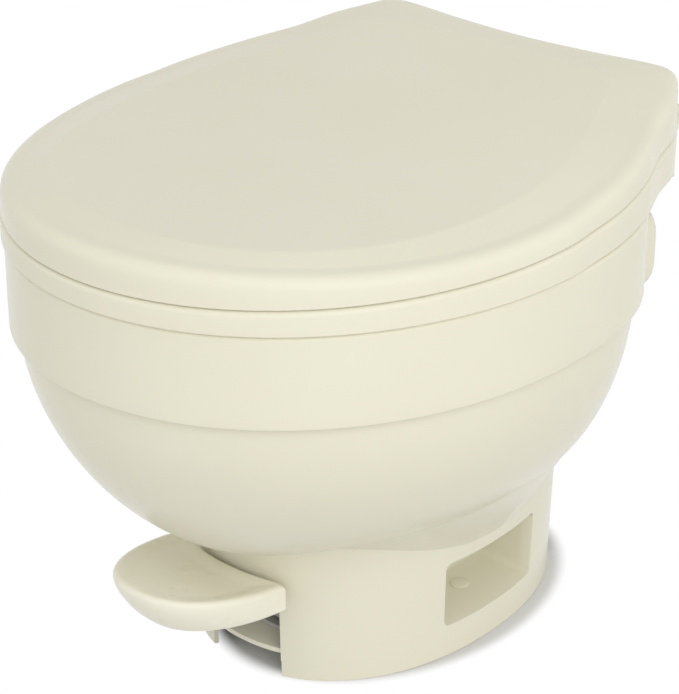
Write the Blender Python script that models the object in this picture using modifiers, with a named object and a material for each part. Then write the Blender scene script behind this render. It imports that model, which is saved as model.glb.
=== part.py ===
"""Low-profile RV toilet: bowl on an oval pedestal, foot pedal, half-ball valve, seat and lid.

Metres, +Z up, front at -Y, floor at Z 0. The design frame has Y 0 at the lid's widest point; the empty
named toilet moves it so that Y 0 is the middle of the overall depth.
"""
import math

import bmesh
import bpy
import numpy as np
from mathutils import Matrix, Vector

for old in list(bpy.data.objects):
    bpy.data.objects.remove(old, do_unlink=True)

# Driving dimensions
half_width = 0.200          # lid, from the middle to its widest point
lid_front = 0.2342          # lid's front edge, ahead of the widest point
lid_rear = 0.2216           # lid's rear corners, behind it
seat_height = 0.345         # seam of lid and seat above the floor, at the widest point
bowl_depth = 0.0211         # seam of seat and bowl below that
band_height = 0.0628        # bowl's upper band, down to its step
neck_half = 0.1098          # pedestal, half its width
neck_length = 0.1501        # pedestal, half its length
neck_centre = 0.0517        # pedestal's middle, behind the lid's widest point
outlet_y = 0.054            # outlet, floor flange and bolt holes
hinge_y = lid_rear + 0.009  # seat and lid turn about one line behind their rear edge
hinge_z = seat_height + 0.005
gap = 0.0003                # between pieces that touch
running = 0.0005            # between pieces that slide or turn past each other
shell = 0.0035              # moulded wall of bowl and pedestal
skin = 0.003                # moulded wall of lid, seat, basin and pedal
overrun = 0.010             # how far a cutter passes what it cuts

HANDS = {-1: "left", 1: "right"}

# Steps of the lofted surfaces
HALF_STEPS = 18
ROUND = 16
SMALL_ROUND = 12
SCREW_SIDES = 8
DRUM_SIDES = 28

materials = {}


def material(name, colour, roughness, metallic=0.0):
    """Principled material, made once for each name; colour is sRGB in 0 to 255."""
    if name not in materials:
        made = bpy.data.materials.new(name)
        made.use_nodes = True
        linear = [(c / 255) ** 2.2 for c in colour]
        bsdf = made.node_tree.nodes["Principled BSDF"]
        bsdf.inputs["Base Color"].default_value = (*linear, 1)
        bsdf.inputs["Roughness"].default_value = roughness
        bsdf.inputs["Metallic"].default_value = metallic
        made.diffuse_color = (*linear, 1)
        materials[name] = made
    return materials[name]


def cream():
    return material("cream_plastic", (226, 223, 205), 0.22)


def white():
    return material("white_plastic", (232, 232, 228), 0.35)


def grey():
    return material("grey_plastic", (150, 152, 152), 0.45)


def rubber():
    return material("black_rubber", (38, 38, 40), 0.8)


def steel():
    return material("stainless_steel", (190, 192, 195), 0.3, 1.0)


def brass():
    return material("brass", (196, 164, 98), 0.3, 1.0)


part = bpy.data.collections.new("rv_toilet")
cutters = bpy.data.collections.new("cutters")
bpy.context.scene.collection.children.link(part)
bpy.context.scene.collection.children.link(cutters)


def empty(name, at=(0, 0, 0), parent=None):
    made = bpy.data.objects.new(name, None)
    made.location = at
    made.parent = parent
    part.objects.link(made)
    return made


inlet_end = 0.2405          # rear end of the inlet fitting, the rearmost point
seat_proud = 0.001          # seat stands this far outside the lid
front_end = lid_front + seat_proud
toilet = empty("toilet", (0, (front_end - inlet_end) / 2, 0))


def put(name, mesh, paint, axis=None):
    """Link a mesh, modelled in the design frame, under the toilet or under a joint's empty."""
    made = bpy.data.objects.new(name, mesh)
    made.data.materials.append(paint)
    made.parent = axis or toilet
    if axis:
        made.location = -Vector(axis.location)
    part.objects.link(made)
    return made


def hide(tool):
    """Make an object a cutter: kept out of the part and drawn as wire."""
    part.objects.unlink(tool)
    cutters.objects.link(tool)
    tool.hide_render = True
    tool.display_type = "WIRE"


def boolean(target, tool, operation):
    made = target.modifiers.new(operation.title(), "BOOLEAN")
    made.operation = operation
    made.object = tool
    if tool.name not in cutters.objects:
        hide(tool)


def cut(target, *tools):
    for tool in tools:
        boolean(target, tool, "DIFFERENCE")


def join(target, *tools):
    for tool in tools:
        boolean(target, tool, "UNION")


def face_out(work):
    """Make the faces of a closed skin agree and face outwards."""
    bmesh.ops.recalc_face_normals(work, faces=work.faces)
    if work.calc_volume(signed=True) < 0:
        bmesh.ops.reverse_faces(work, faces=work.faces)


def to_mesh(name, work):
    mesh = bpy.data.meshes.new(name)
    work.to_mesh(mesh)
    work.free()
    mesh.shade_smooth()
    mesh.set_sharp_from_angle(angle=math.radians(35))
    return mesh


def box(name, x, y, z, paint=None, axis=None):
    """Box between pairs of X, Y and Z."""
    low, high = np.array((x, y, z)).T
    work = bmesh.new()
    bmesh.ops.create_cube(work, size=1)
    bmesh.ops.scale(work, vec=high - low, verts=work.verts)
    bmesh.ops.translate(work, vec=(low + high) / 2, verts=work.verts)
    return put(name, to_mesh(name, work), paint or white(), axis)


def rod(name, start, end, radius, paint=None, sides=ROUND, axis=None, tip=None):
    """Cylinder between two points, or a cone to another tip radius."""
    start, end = Vector(start), Vector(end)
    work = bmesh.new()
    bmesh.ops.create_cone(work, cap_ends=True, segments=sides, radius1=radius,
                          radius2=radius if tip is None else tip, depth=(end - start).length)
    turn = (end - start).to_track_quat("Z", "Y").to_matrix().to_4x4()
    work.transform(Matrix.Translation((start + end) / 2) @ turn)
    return put(name, to_mesh(name, work), paint or white(), axis)


def rods(name, places, direction, radius, paint=None, sides=SMALL_ROUND, axis=None):
    """Like rods in one object, one from each place along a vector."""
    made = bmesh.new()
    for place in places:
        start = Vector(place)
        work = bmesh.ops.create_cone(made, cap_ends=True, segments=sides, radius1=radius,
                                     radius2=radius, depth=Vector(direction).length)
        turn = Vector(direction).to_track_quat("Z", "Y").to_matrix().to_4x4()
        move = Matrix.Translation(start + Vector(direction) / 2) @ turn
        bmesh.ops.transform(made, matrix=move, verts=work["verts"])
    return put(name, to_mesh(name, made), paint or white(), axis)


def turned(name, profile, at, paint=None, steps=ROUND, direction="Z", axis=None):
    """Profile of (radius, height) points, down the outer side, turned about a line through a point."""
    mesh = bpy.data.meshes.new(name)
    closed = min(r for r, _ in profile) > 0
    count = len(profile)
    edges = [(i, (i + 1) % count) for i in range(count if closed else count - 1)]
    mesh.from_pydata([(r, 0, h) for r, h in profile], edges, [])
    made = put(name, mesh, paint or white(), axis)
    spin = made.modifiers.new("Turn", "SCREW")
    spin.steps = spin.render_steps = steps
    spin.use_merge_vertices = True
    spin.merge_threshold = 1e-5
    made.location = Vector(at) - (Vector(axis.location) if axis else Vector())
    if direction == "Y":
        made.rotation_euler.x = -math.pi / 2
    elif direction == "X":
        made.rotation_euler.y = math.pi / 2
    return made


def slab(name, outline, span, direction, paint=None, axis=None):
    """Flat outline given a thickness: outline in (Y, Z) for a span of X, or in (X, Z) for a span of Y."""
    curve = bpy.data.curves.new(name, "CURVE")
    curve.dimensions = "2D"
    curve.fill_mode = "BOTH"
    curve.extrude = (span[1] - span[0]) / 2
    line = curve.splines.new("POLY")
    line.points.add(len(outline) - 1)
    for point, (u, v) in zip(line.points, outline):
        point.co = (u, v, 0, 1)
    line.use_cyclic_u = True
    drawn = bpy.data.objects.new(name, curve)
    part.objects.link(drawn)
    shape = bpy.data.meshes.new_from_object(drawn.evaluated_get(bpy.context.evaluated_depsgraph_get()))
    bpy.data.objects.remove(drawn)
    work = bmesh.new()
    work.from_mesh(shape)
    bmesh.ops.remove_doubles(work, verts=work.verts, dist=1e-6)
    middle = (span[0] + span[1]) / 2
    if direction == "X":
        move = Matrix(((0, 0, 1, middle), (1, 0, 0, 0), (0, 1, 0, 0), (0, 0, 0, 1)))
    else:
        move = Matrix(((1, 0, 0, 0), (0, 0, 1, middle), (0, 1, 0, 0), (0, 0, 0, 1)))
    work.transform(move)
    face_out(work)
    return put(name, to_mesh(name, work), paint or white(), axis)


def tube_path(name, route, radius, paint, resolution=2):
    """Smooth tube through the points of a route, capped, as a mesh."""
    curve = bpy.data.curves.new(name, "CURVE")
    curve.dimensions = "3D"
    curve.bevel_depth = radius
    curve.bevel_resolution = resolution
    curve.use_fill_caps = True
    line = curve.splines.new("POLY")
    line.points.add(len(route) - 1)
    for point, place in zip(line.points, route):
        point.co = (*place, 1)
    drawn = bpy.data.objects.new(name, curve)
    part.objects.link(drawn)
    shape = bpy.data.meshes.new_from_object(drawn.evaluated_get(bpy.context.evaluated_depsgraph_get()))
    bpy.data.objects.remove(drawn)
    work = bmesh.new()
    work.from_mesh(shape)
    bmesh.ops.remove_doubles(work, verts=work.verts, dist=1e-6)
    face_out(work)
    return put(name, to_mesh(name, work), paint)


def loft(name, rings, ends, paint=None, axis=None):
    """Skin a list of rings. ends is loop, fan, flat or across: joined round, closed to a point, a flat cap,
    or each point of a ring's first half joined to its partner, counted back from the end."""
    work = bmesh.new()
    rows = [[work.verts.new(p) for p in ring] for ring in rings]
    count = len(rows[0])
    pairs = list(zip(rows, rows[1:] + rows[:1])) if ends == "loop" else list(zip(rows, rows[1:]))
    for low, high in pairs:
        for i in range(count):
            j = (i + 1) % count
            work.faces.new((low[i], low[j], high[j], high[i]))
    for row, ring in ((rows[0], rings[0]), (rows[-1], rings[-1])):
        if ends == "fan":
            centre = work.verts.new(np.mean(ring, axis=0))
            for i in range(count):
                work.faces.new((row[i], row[(i + 1) % count], centre))
        elif ends == "flat":
            work.faces.new(row)
        elif ends == "across":
            for i in range(count // 2 - 1):
                work.faces.new((row[i], row[i + 1], row[count - 2 - i], row[count - 1 - i]))
    face_out(work)
    return put(name, to_mesh(name, work), paint or white(), axis)


def smooth_path(points, per_span):
    """Catmull-Rom curve through all but the first and last point, which only steer its ends."""
    p = np.array(points, float)
    t = np.linspace(0, 1, per_span, endpoint=False)[:, None]
    spans = []
    for a, b, c, d in zip(p, p[1:], p[2:], p[3:]):
        spans.append(((2 * b) + (c - a) * t + (2 * a - 5 * b + 4 * c - d) * t ** 2
                      + (3 * b - a - 3 * c + d) * t ** 3) / 2)
    return np.concatenate(spans + [p[-2:-1]])


# Outlines: a half outline is a dense run of points from the front round to the rear on the +X side.
# It is kept as distances from a pole at the outlet, at fixed bearings, so that unlike outlines match.

def half_oval(half, front, rear, front_power, rear_power, centre=0.0):
    """Superellipse whose front and rear halves have their own reach and squareness."""
    t = np.linspace(0, math.pi, 241)
    s, c = np.sin(t), np.cos(t)
    ahead = c > 0
    power = np.where(ahead, 2 / front_power, 2 / rear_power)
    reach = np.where(ahead, front, rear)
    return np.stack([half * s ** power, centre - reach * np.sign(c) * np.abs(c) ** power], 1)


front_squareness = 2.03
# Rear half of the lid's outline, as shares of half_width and lid_rear: flare, corner and dipped edge
flare_shares = [(1.0, -0.12), (1.0, 0.0), (0.9875, 0.12), (0.9716, 0.25), (0.9377, 0.385), (0.8862, 0.525),
                (0.8193, 0.665), (0.7716, 0.80), (0.7079, 0.905), (0.6416, 0.985), (0.5415, 1.0),
                (0.28, 0.980), (0.0, 0.9696), (-0.28, 0.980)]


def half_lid():
    t = np.linspace(0, math.pi / 2, 120, endpoint=False)
    front = np.stack([half_width * np.sin(t) ** (2 / front_squareness),
                      -lid_front * np.cos(t) ** (2 / front_squareness)], 1)
    rear = smooth_path(flare_shares, 14) * [half_width, lid_rear]
    return np.concatenate([front, rear])


def bearings():
    """Bearings from the pole of points spaced evenly along half the lid's outline."""
    line = half_lid()
    along = np.concatenate([[0], np.cumsum(np.hypot(*np.diff(line, axis=0).T))])
    even = np.linspace(0, along[-1], HALF_STEPS + 1)
    x, y = np.interp(even, along, line[:, 0]), np.interp(even, along, line[:, 1])
    return np.arctan2(x, outlet_y - y)


PHI = bearings()


def reach_of(line):
    """Distances from the pole at the fixed bearings."""
    return np.interp(PHI, np.arctan2(line[:, 0], outlet_y - line[:, 1]),
                     np.hypot(line[:, 0], line[:, 1] - outlet_y))


def half_points(reach):
    return np.stack([reach * np.sin(PHI), outlet_y - reach * np.cos(PHI)], 1)


def depth_of(reach):
    """Y of each point of a half outline."""
    return outlet_y - reach * np.cos(PHI)


def inset(reach, distance):
    """Outline moved inwards along its own normals."""
    p = half_points(reach)
    full = np.concatenate([p[1:2] * [-1, 1], p, p[-2:-1] * [-1, 1]])
    along = full[2:] - full[:-2]
    normal = np.stack([along[:, 1], -along[:, 0]], 1) / np.hypot(*along.T)[:, None]
    moved = p - normal * distance
    moved[[0, -1], 0] = 0
    return reach_of(moved)


def ring(reach, height):
    """Whole ring from a half outline, at a height or at a height for each of its points."""
    half = np.concatenate([half_points(reach), np.broadcast_to(height, PHI.shape)[:, None]], 1)
    return np.concatenate([half, (half * [-1, 1, 1])[-2:0:-1]])


def through(front, middle, rear, y):
    """Height at Y on the curve through three heights, at the lid's front, widest point and rear."""
    f, r = -lid_front, lid_rear
    return (front * y * (y - r) / (f * (f - r)) + middle * (y - f) * (y - r) / (f * r)
            + rear * (y - f) * y / ((r - f) * r))


lid_outline = reach_of(half_lid())
neck_power = 2.20
neck_outline = reach_of(half_oval(neck_half, neck_length, neck_length, neck_power, neck_power, neck_centre))
rim_z = seat_height - bowl_depth - gap
step_z = rim_z - band_height


def seam(y):
    """Height of the seam between lid and seat: it rises to the rear."""
    return seat_height + through(*seam_rises, y)


seam_rises = (-0.0048, 0.0, 0.0089)

# Joint empties
seat_axis = empty("seat_axis", (0, hinge_y, hinge_z), toilet)

# Lid: one thin moulding with a rolled edge and a raised middle
lid_rises = (0.0201, 0.0173, 0.0431)
lid_roll = 0.0145
border = 0.040
border_rise = 0.0035
crown = 0.0012


def make_lid():
    edge = seat_height + through(*lid_rises, depth_of(lid_outline))
    foot = seam(depth_of(lid_outline)) + gap
    rings = []
    inner = inset(lid_outline, skin)
    inner_border = inset(lid_outline, border)
    border_z = seat_height + through(*lid_rises, depth_of(inner_border)) + border_rise
    middle_share = 0.45
    middle = inner_border * middle_share
    middle_z = seat_height + through(*lid_rises, depth_of(middle)) + border_rise + crown
    rings += [ring(middle, middle_z - skin), ring(inner_border, border_z - skin)]
    rings.append(ring(inset(lid_outline, skin + lid_roll), edge - skin))
    rings += [ring(inner, edge - lid_roll), ring(inner, foot), ring(lid_outline, foot)]
    for angle in np.radians((0, 22.5, 45, 67.5, 90)):
        inward = lid_roll * (1 - math.cos(angle))
        rings.append(ring(inset(lid_outline, inward), edge - lid_roll * (1 - math.sin(angle))))
    rings += [ring(inner_border, border_z), ring(middle, middle_z)]
    return loft("lid", rings, "fan", cream(), seat_axis)


lid = make_lid()

# Hinge knuckles, from the middle outwards on each side: lid, bracket eye, seat
knuckle = 0.0065
pin_radius = 0.0025
knuckle_long = 0.0130
lid_knuckle = (0.43 * half_width, 0.43 * half_width + knuckle_long)
eye = (lid_knuckle[1] + running, lid_knuckle[1] + running + knuckle_long)
seat_knuckle = (eye[1] + running, eye[1] + running + knuckle_long)
web_height = 0.012          # how far a knuckle's web climbs the wall it grows from
web_bite = 0.0045           # how far the web reaches into the wall


def rear_edge(x):
    """Y of the lid's rear edge at a distance from the middle."""
    line = half_lid()[-60:]
    return float(np.interp(-abs(x), -line[::-1, 0][::-1], line[:, 1]))


def add_knuckle(target, span, web_z, wall_y):
    """Knuckle on both sides of a lid or seat, with a web into its rear wall."""
    for side in (-1, 1):
        x = sorted((side * span[0], side * span[1]))
        barrel = rod("barrel", (x[0], hinge_y, hinge_z), (x[1], hinge_y, hinge_z), knuckle)
        web = box("web", x, (wall_y - web_bite, hinge_y), web_z)
        join(barrel, web)
        join(target, barrel)


def knuckle_bores(target, span):
    for side in (-1, 1):
        x = sorted((side * (span[0] - overrun), side * (span[1] + running)))
        cut(target, rod("bore", (x[0], hinge_y, hinge_z), (x[1], hinge_y, hinge_z), pin_radius + gap))


lid_wall_y = rear_edge(sum(lid_knuckle) / 2)
lid_web = (seam(lid_rear) + 2 * gap, hinge_z + web_height)
seat_web = (hinge_z - web_height, hinge_z)
add_knuckle(lid, lid_knuckle, lid_web, lid_wall_y)

# Seat: a hollow ring, open below, with a skirt that hangs lower round its rear
hole_half = 0.61 * half_width
hole_front = 0.66 * lid_front
hole_rear = 0.505 * lid_rear
hole_power = 2.15
seat_roll = 0.004
hole_roll = 0.009
skirt_drop = 0.0137         # skirt below the seat's flat underside
skirt_start = 0.158
skirt_full = 0.175


def seat_foot(y):
    """Height of the seat's lower outer edge: level, then down to the skirt."""
    blend = np.clip((y - skirt_start) / (skirt_full - skirt_start), 0, 1)
    return seat_height - bowl_depth - skirt_drop * blend ** 2 * (3 - 2 * blend)


def make_seat():
    outer = inset(lid_outline, -seat_proud)
    hole = reach_of(half_oval(hole_half, hole_front, hole_rear, hole_power, hole_power))
    under = seat_height - bowl_depth
    foot = seat_foot(depth_of(outer))
    rings = [ring(outer, foot)]
    for angle in np.radians((0, 45, 90)):
        line = inset(outer, seat_roll * (1 - math.cos(angle)))
        rings.append(ring(line, seam(depth_of(line)) - seat_roll * (1 - math.sin(angle))))
    for angle in np.radians((90, 45, 0)):
        line = inset(hole, hole_roll * (math.cos(angle) - 1))
        rings.append(ring(line, seam(depth_of(line)) - hole_roll * (1 - math.sin(angle))))
    rings.append(ring(hole, under))
    inside_hole = inset(hole, -skin)
    inside = inset(outer, skin + seat_proud)
    rings += [ring(inside_hole, under), ring(inside_hole, seam(depth_of(inside_hole)) - hole_roll)]
    ceiling_hole = inset(hole, -hole_roll)
    rings.append(ring(ceiling_hole, seam(depth_of(ceiling_hole)) - skin))
    ceiling = inset(outer, seat_roll + skin)
    rings += [ring(ceiling, seam(depth_of(ceiling)) - skin),
              ring(inside, seam(depth_of(inside)) - skin - seat_roll),
              ring(inside, seat_foot(depth_of(inside)))]
    return loft("seat", rings, "loop", cream(), seat_axis)


seat = make_seat()
seat_wall_y = rear_edge(sum(seat_knuckle) / 2)
add_knuckle(seat, seat_knuckle, seat_web, seat_wall_y)
knuckle_bores(lid, lid_knuckle)
knuckle_bores(seat, seat_knuckle)

# Bumpers: rubber stubs that keep lid off seat and seat off bowl
bumper = 0.0065
seat_bumper_places = [(0.75 * half_width, -0.060), (0.72 * half_width, 0.070)]
lid_bumper_places = [(0.79 * half_width, -0.070)]


def make_bumpers(name, places, bottom, top):
    for x, y in places:
        for side in (-1, 1):
            where = f"{name}_{places.index((x, y)) + 1}_{HANDS[side]}"
            foot, head = (side * x, y, bottom(y)), (side * x, y, top(y))
            rod(where, foot, head, bumper, rubber(), SMALL_ROUND, seat_axis)


make_bumpers("seat_bumper", seat_bumper_places, lambda y: seat_height - bowl_depth,
             lambda y: seam(y - bumper) - skin - gap)
make_bumpers("lid_bumper", lid_bumper_places, lambda y: seam(y + bumper) + gap,
             lambda y: seat_height + through(*lid_rises, y - bumper) - skin - gap)

# Bowl shell: rolled rim, upper band, step and dome, open below on a flange that sits on the pedestal
band_inside = 0.001         # band inside the seat's edge
band_rear = 0.198
band_rear_power = 2.55
step_in = 0.006
rim_roll = 0.003
step_roll = 0.0015
flange = 0.012
crease_front = 0.102        # where the dome meets the pedestal
crease_side = 0.119
crease_rear = 0.120
crease_front_power = 6
dome_power = 1.78
dome_reach_share = 0.90
dome_shares = (0, 0.05, 0.12, 0.22, 0.34, 0.48, 0.62, 0.76, 0.89, 1)
dome_inner_shares = (1, 0.76, 0.5, 0.26, 0.08)
open_half = 0.75 * half_width
open_front = 0.79 * lid_front
open_rear = 0.61 * lid_rear
open_power = 2.15

band_line = reach_of(half_oval(half_width - band_inside, lid_front - band_inside, band_rear,
                               front_squareness, band_rear_power))
step_line = inset(band_line, step_in)
open_line = reach_of(half_oval(open_half, open_front, open_rear, open_power, open_power))


def crease(reach):
    """Height of the dome's lower edge round the pedestal: high at the sides, low at front and rear."""
    along = (neck_centre - depth_of(reach)) / neck_length
    ahead, behind = np.clip(along, 0, 1), np.clip(-along, 0, 1)
    return (crease_side + (crease_front - crease_side) * ahead ** crease_front_power
            + (crease_rear - crease_side) * behind ** 2)


crease_z = crease(neck_outline)


def dome_depth(share):
    """How far down the dome has come, from 0 at the step to 1 at the crease."""
    def fall(s):
        return (1 - (1 - s * dome_reach_share) ** dome_power) ** (1 / dome_power)
    return fall(share) / fall(1)


def dome_ring(share, thickness=0.0):
    line = (1 - share) * inset(step_line, thickness) + share * inset(neck_outline, thickness)
    return ring(line, step_z + (crease_z + thickness - step_z) * dome_depth(share))


def make_bowl_shell():
    halfway = rim_roll * (1 - math.sqrt(0.5))
    rings = [ring(open_line, rim_z), ring(inset(band_line, rim_roll), rim_z),
             ring(inset(band_line, halfway), rim_z - halfway),
             ring(band_line, rim_z - rim_roll), ring(band_line, step_z + step_roll),
             ring(inset(band_line, step_roll), step_z)]
    rings += [dome_ring(s) for s in dome_shares]
    inner_edge = inset(neck_outline, flange)
    rings += [ring(inner_edge, crease_z), ring(inner_edge, crease_z + shell)]
    rings += [dome_ring(s, shell) for s in dome_inner_shares]
    inside = inset(band_line, shell)
    rings += [ring(inset(band_line, shell + step_in), step_z + shell), ring(inside, step_z + step_in),
              ring(inside, rim_z - shell), ring(open_line, rim_z - shell)]
    return loft("bowl_shell", rings, "loop", cream())


bowl_shell = make_bowl_shell()

# Basin: the inner bowl, hung from the rim, down to a flanged outlet
chamber_radius = 0.050
chamber_wall = 0.003
chamber_inside = chamber_radius - chamber_wall
ball_radius = chamber_inside - 0.002
ball_z = 0.060
outlet_radius = ball_radius * 2 / 3
seal_plane = ball_z + math.sqrt(ball_radius ** 2 - outlet_radius ** 2)
plate = 0.004               # valve chamber's top plate
seal_thick = 0.003
chamber_top = seal_plane + gap
collar_z = chamber_top + seal_thick + 2 * gap
collar_flange = chamber_radius - 0.004
basin_lip = 0.012
throat_z = 0.012            # straight outlet above the collar
basin_power = 1.9
basin_reach_share = 0.97
basin_shares = (0.03, 0.09, 0.2, 0.34, 0.5, 0.66, 0.82, 0.93, 1)
basin_outer_shares = (1, 0.86, 0.7, 0.5, 0.3, 0.12)


def make_basin():
    top = rim_z - shell - gap
    low = collar_z + throat_z
    outlet = np.full(PHI.shape, outlet_radius)

    def wall(share, thickness):
        def fall(s):
            return (1 - (1 - s * basin_reach_share) ** basin_power) ** (1 / basin_power)
        line = (1 - share) * inset(open_line, -thickness) + share * (outlet + thickness)
        return ring(line, top - thickness + (low - top) * fall(share) / fall(1))

    lip = inset(open_line, -basin_lip)
    rings = [ring(lip, top), ring(open_line, top)]
    rings += [wall(s, 0) for s in basin_shares]
    collar = outlet - outlet_radius + collar_flange
    rings += [ring(outlet, collar_z), ring(collar, collar_z),
              ring(collar, collar_z + skin), ring(outlet + skin, collar_z + skin)]
    rings += [wall(s, skin) for s in basin_outer_shares]
    rings += [ring(inset(open_line, -skin), top - skin), ring(lip, top - skin)]
    return loft("basin", rings, "loop", cream())


basin = make_basin()

# Pedestal: oval neck with a foot lip, an inner floor, side pockets, a pedal slot and a rear service opening
neck_front_y = neck_centre - neck_length
foot_lip = 0.014
foot_thick = 0.004
floor_low = 0.018
floor_high = floor_low + shell
pocket_front = 0.002
pocket_rear = 0.101
pocket_low = 0.0265
pocket_high = 0.0758
pocket_back = chamber_radius + 0.010
slot_half = 0.032
slot_top = 0.074
slot_depth = 0.021
service_half = 0.068
service_front = 0.160
service_top = 0.074
bolt_x = 0.0762             # holes for the floor flange's bolts, 6 in apart
bolt_hole = 0.0042
spigot = 0.0375             # outlet spigot's outer radius


def make_pedestal():
    line = inset(neck_outline, shell)
    lip = inset(neck_outline, foot_lip)
    top = crease_z - gap
    inside = [ring(line, floor_high), ring(line, top)]
    outside = [ring(neck_outline, top), ring(neck_outline, 0)]
    foot = [ring(lip, 0), ring(lip, foot_thick), ring(line, foot_thick), ring(line, floor_low)]
    body = loft("pedestal", inside + outside + foot, "fan", cream())
    core_edge = inset(neck_outline, shell / 3)
    core = loft("core", [ring(core_edge, foot_thick), ring(core_edge, service_top + pocket_low)], "fan")
    for side in (-1, 1):
        x_out = side * (neck_half + overrun)
        case = box("pocket_case", sorted((side * (pocket_back - shell), x_out)),
                   (pocket_front - shell, pocket_rear + shell), (floor_high - shell / 2, pocket_high + shell))
        boolean(case, core, "INTERSECT")
        join(body, case)
    for side in (-1, 1):
        x_out = side * (neck_half + overrun)
        cut(body, box("pocket", sorted((side * pocket_back, x_out)), (pocket_front, pocket_rear),
                      (pocket_low, pocket_high)))
    cut(body, box("pedal_slot", (-slot_half, slot_half), (neck_front_y - overrun, neck_front_y + slot_depth),
                  (-overrun, slot_top)))
    cut(body, box("service", (-service_half, service_half), (service_front, hinge_y),
                  (-overrun, service_top)))
    cut(body, rod("spigot_hole", (0, outlet_y, foot_thick), (0, outlet_y, pocket_low), spigot + 2 * gap,
                  sides=DRUM_SIDES))
    cut(body, rods("bolt_holes", [(x, outlet_y, foot_thick) for x in (-bolt_x, bolt_x)],
                   (0, 0, pocket_low), bolt_hole))
    return body


pedestal = make_pedestal()

# Valve chamber: a drum under the outlet, with a spigot into the floor flange and two shaft bosses
spigot_inside = 0.034
spigot_end = 0.003
seal_ledge = outlet_radius + 0.0045
boss_radius = 0.012
boss_long = 0.006
bush_outer = 0.0080
shaft_radius = 0.005
chamber_low = floor_high + gap


def make_chamber():
    profile = [(seal_ledge, chamber_top), (chamber_radius, chamber_top), (chamber_radius, chamber_low),
               (spigot, chamber_low), (spigot, spigot_end), (spigot_inside, spigot_end),
               (spigot_inside, chamber_low + plate), (chamber_inside, chamber_low + plate),
               (chamber_inside, chamber_top - plate), (seal_ledge, chamber_top - plate)]
    drum = turned("valve_chamber", profile, (0, outlet_y, 0), grey(), steps=DRUM_SIDES)
    for side in (-1, 1):
        near = outlet_y + side * (chamber_inside + gap * 2)
        far = outlet_y + side * (chamber_radius + boss_long)
        join(drum, rod("boss", (0, near, ball_z), (0, far, ball_z), boss_radius))
        bore_in = outlet_y + side * (chamber_inside - overrun / 2)
        bore_out = outlet_y + side * (chamber_radius + overrun)
        cut(drum, rod("bush_bore", (0, bore_in, ball_z), (0, bore_out, ball_z), bush_outer + gap))
    return drum


chamber = make_chamber()

# Outlet seal, clamped between chamber and basin, and the screws that clamp it
seal_outer = outlet_radius + 0.010
turned("outlet_seal", [(outlet_radius, collar_z - gap), (seal_outer, collar_z - gap),
                       (seal_outer, chamber_top + gap), (outlet_radius, chamber_top + gap)],
       (0, outlet_y, 0), rubber(), steps=DRUM_SIDES)
screw_radius = 0.0015
head_radius = 0.0028
head_high = 0.0022
flange_screw_ring = seal_outer + 0.0028
screw_bite = 0.003


def screws(name, places, end, seat_z, flip=1, axis=None):
    """Pan-head screws: shanks from their end to under the head, which rests on a seat."""
    head_z = seat_z + flip * gap
    for number, (x, y) in enumerate(places, 1):
        inside_head, head_top = (x, y, head_z + flip * head_high / 2), (x, y, head_z + flip * head_high)
        shank = rod(f"{name}_{number}", (x, y, end), inside_head, screw_radius, steel(), SCREW_SIDES, axis)
        join(shank, rod("head", (x, y, head_z), head_top, head_radius, steel(), SMALL_ROUND, axis))


def screw_holes(places, low, high, *targets, axis=None):
    for target in targets:
        cut(target, rods("screw_hole", [(x, y, low) for x, y in places], (0, 0, high - low),
                         screw_radius + gap, sides=SCREW_SIDES, axis=axis))


flange_places = [(flange_screw_ring * math.cos(a), outlet_y + flange_screw_ring * math.sin(a))
                 for a in np.radians((30, 150, 270))]
screws("flange_screw", flange_places, chamber_top - screw_bite, collar_z + skin)
screw_holes(flange_places, chamber_top - screw_bite - gap, collar_z + skin + overrun, basin, chamber)

# Half-ball: a slice of a sphere on two hubs, which turns about the Y line through the chamber's middle
ball_axis = empty("ball_axis", (0, outlet_y, ball_z), toilet)
ball_skin = 0.0035
ball_half_angle = 47
ball_arc = 80
hub_radius = 0.009
hub_in = chamber_inside - 0.011
hub_out = chamber_inside - 0.0015
hub_bore_in = chamber_inside - 0.0085


def make_ball():
    arc = np.radians(np.linspace(-ball_arc, ball_arc, 13))
    bow = np.stack([np.cos(arc), np.sin(arc)], 1)
    profile = np.concatenate([bow * ball_radius, bow[::-1] * (ball_radius - ball_skin)])
    rings = []
    for turn in np.radians(np.linspace(-ball_half_angle, ball_half_angle, 9)):
        r, y = profile.T
        rings.append(np.stack([r * math.sin(turn), outlet_y + y, ball_z + r * math.cos(turn)], 1))
    ball = loft("waste_ball", rings, "flat", white(), ball_axis)
    for side in (-1, 1):
        hub_ends = [(0, outlet_y + side * y, ball_z) for y in (hub_in, hub_out)]
        join(ball, rod("hub", *hub_ends, hub_radius))
        cut(ball, rod("hub_bore", (0, outlet_y + side * hub_bore_in, ball_z),
                      (0, outlet_y + side * (hub_out + overrun), ball_z), shaft_radius + gap))
    return ball


make_ball()

# Drive: rack and pinion in the neck's front. The pedal's arm lifts the rack, which turns the front shaft.
teeth = 12
pitch_radius = 0.010
pedal_angle = 20
ball_angle = 90
pressure = math.radians(25)
addendum_share = 0.8        # of the module
dedendum_share = 1.1
backlash = 0.00025
gear_rear = outlet_y - chamber_radius - boss_long - 0.0105
gear_front = gear_rear - 0.010
gear_middle = (gear_front + gear_rear) / 2
rack_travel = pitch_radius * math.radians(ball_angle)
pitch = 2 * math.pi * pitch_radius / teeth
module_ = 2 * pitch_radius / teeth
addendum = addendum_share * module_
dedendum = dedendum_share * module_


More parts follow.
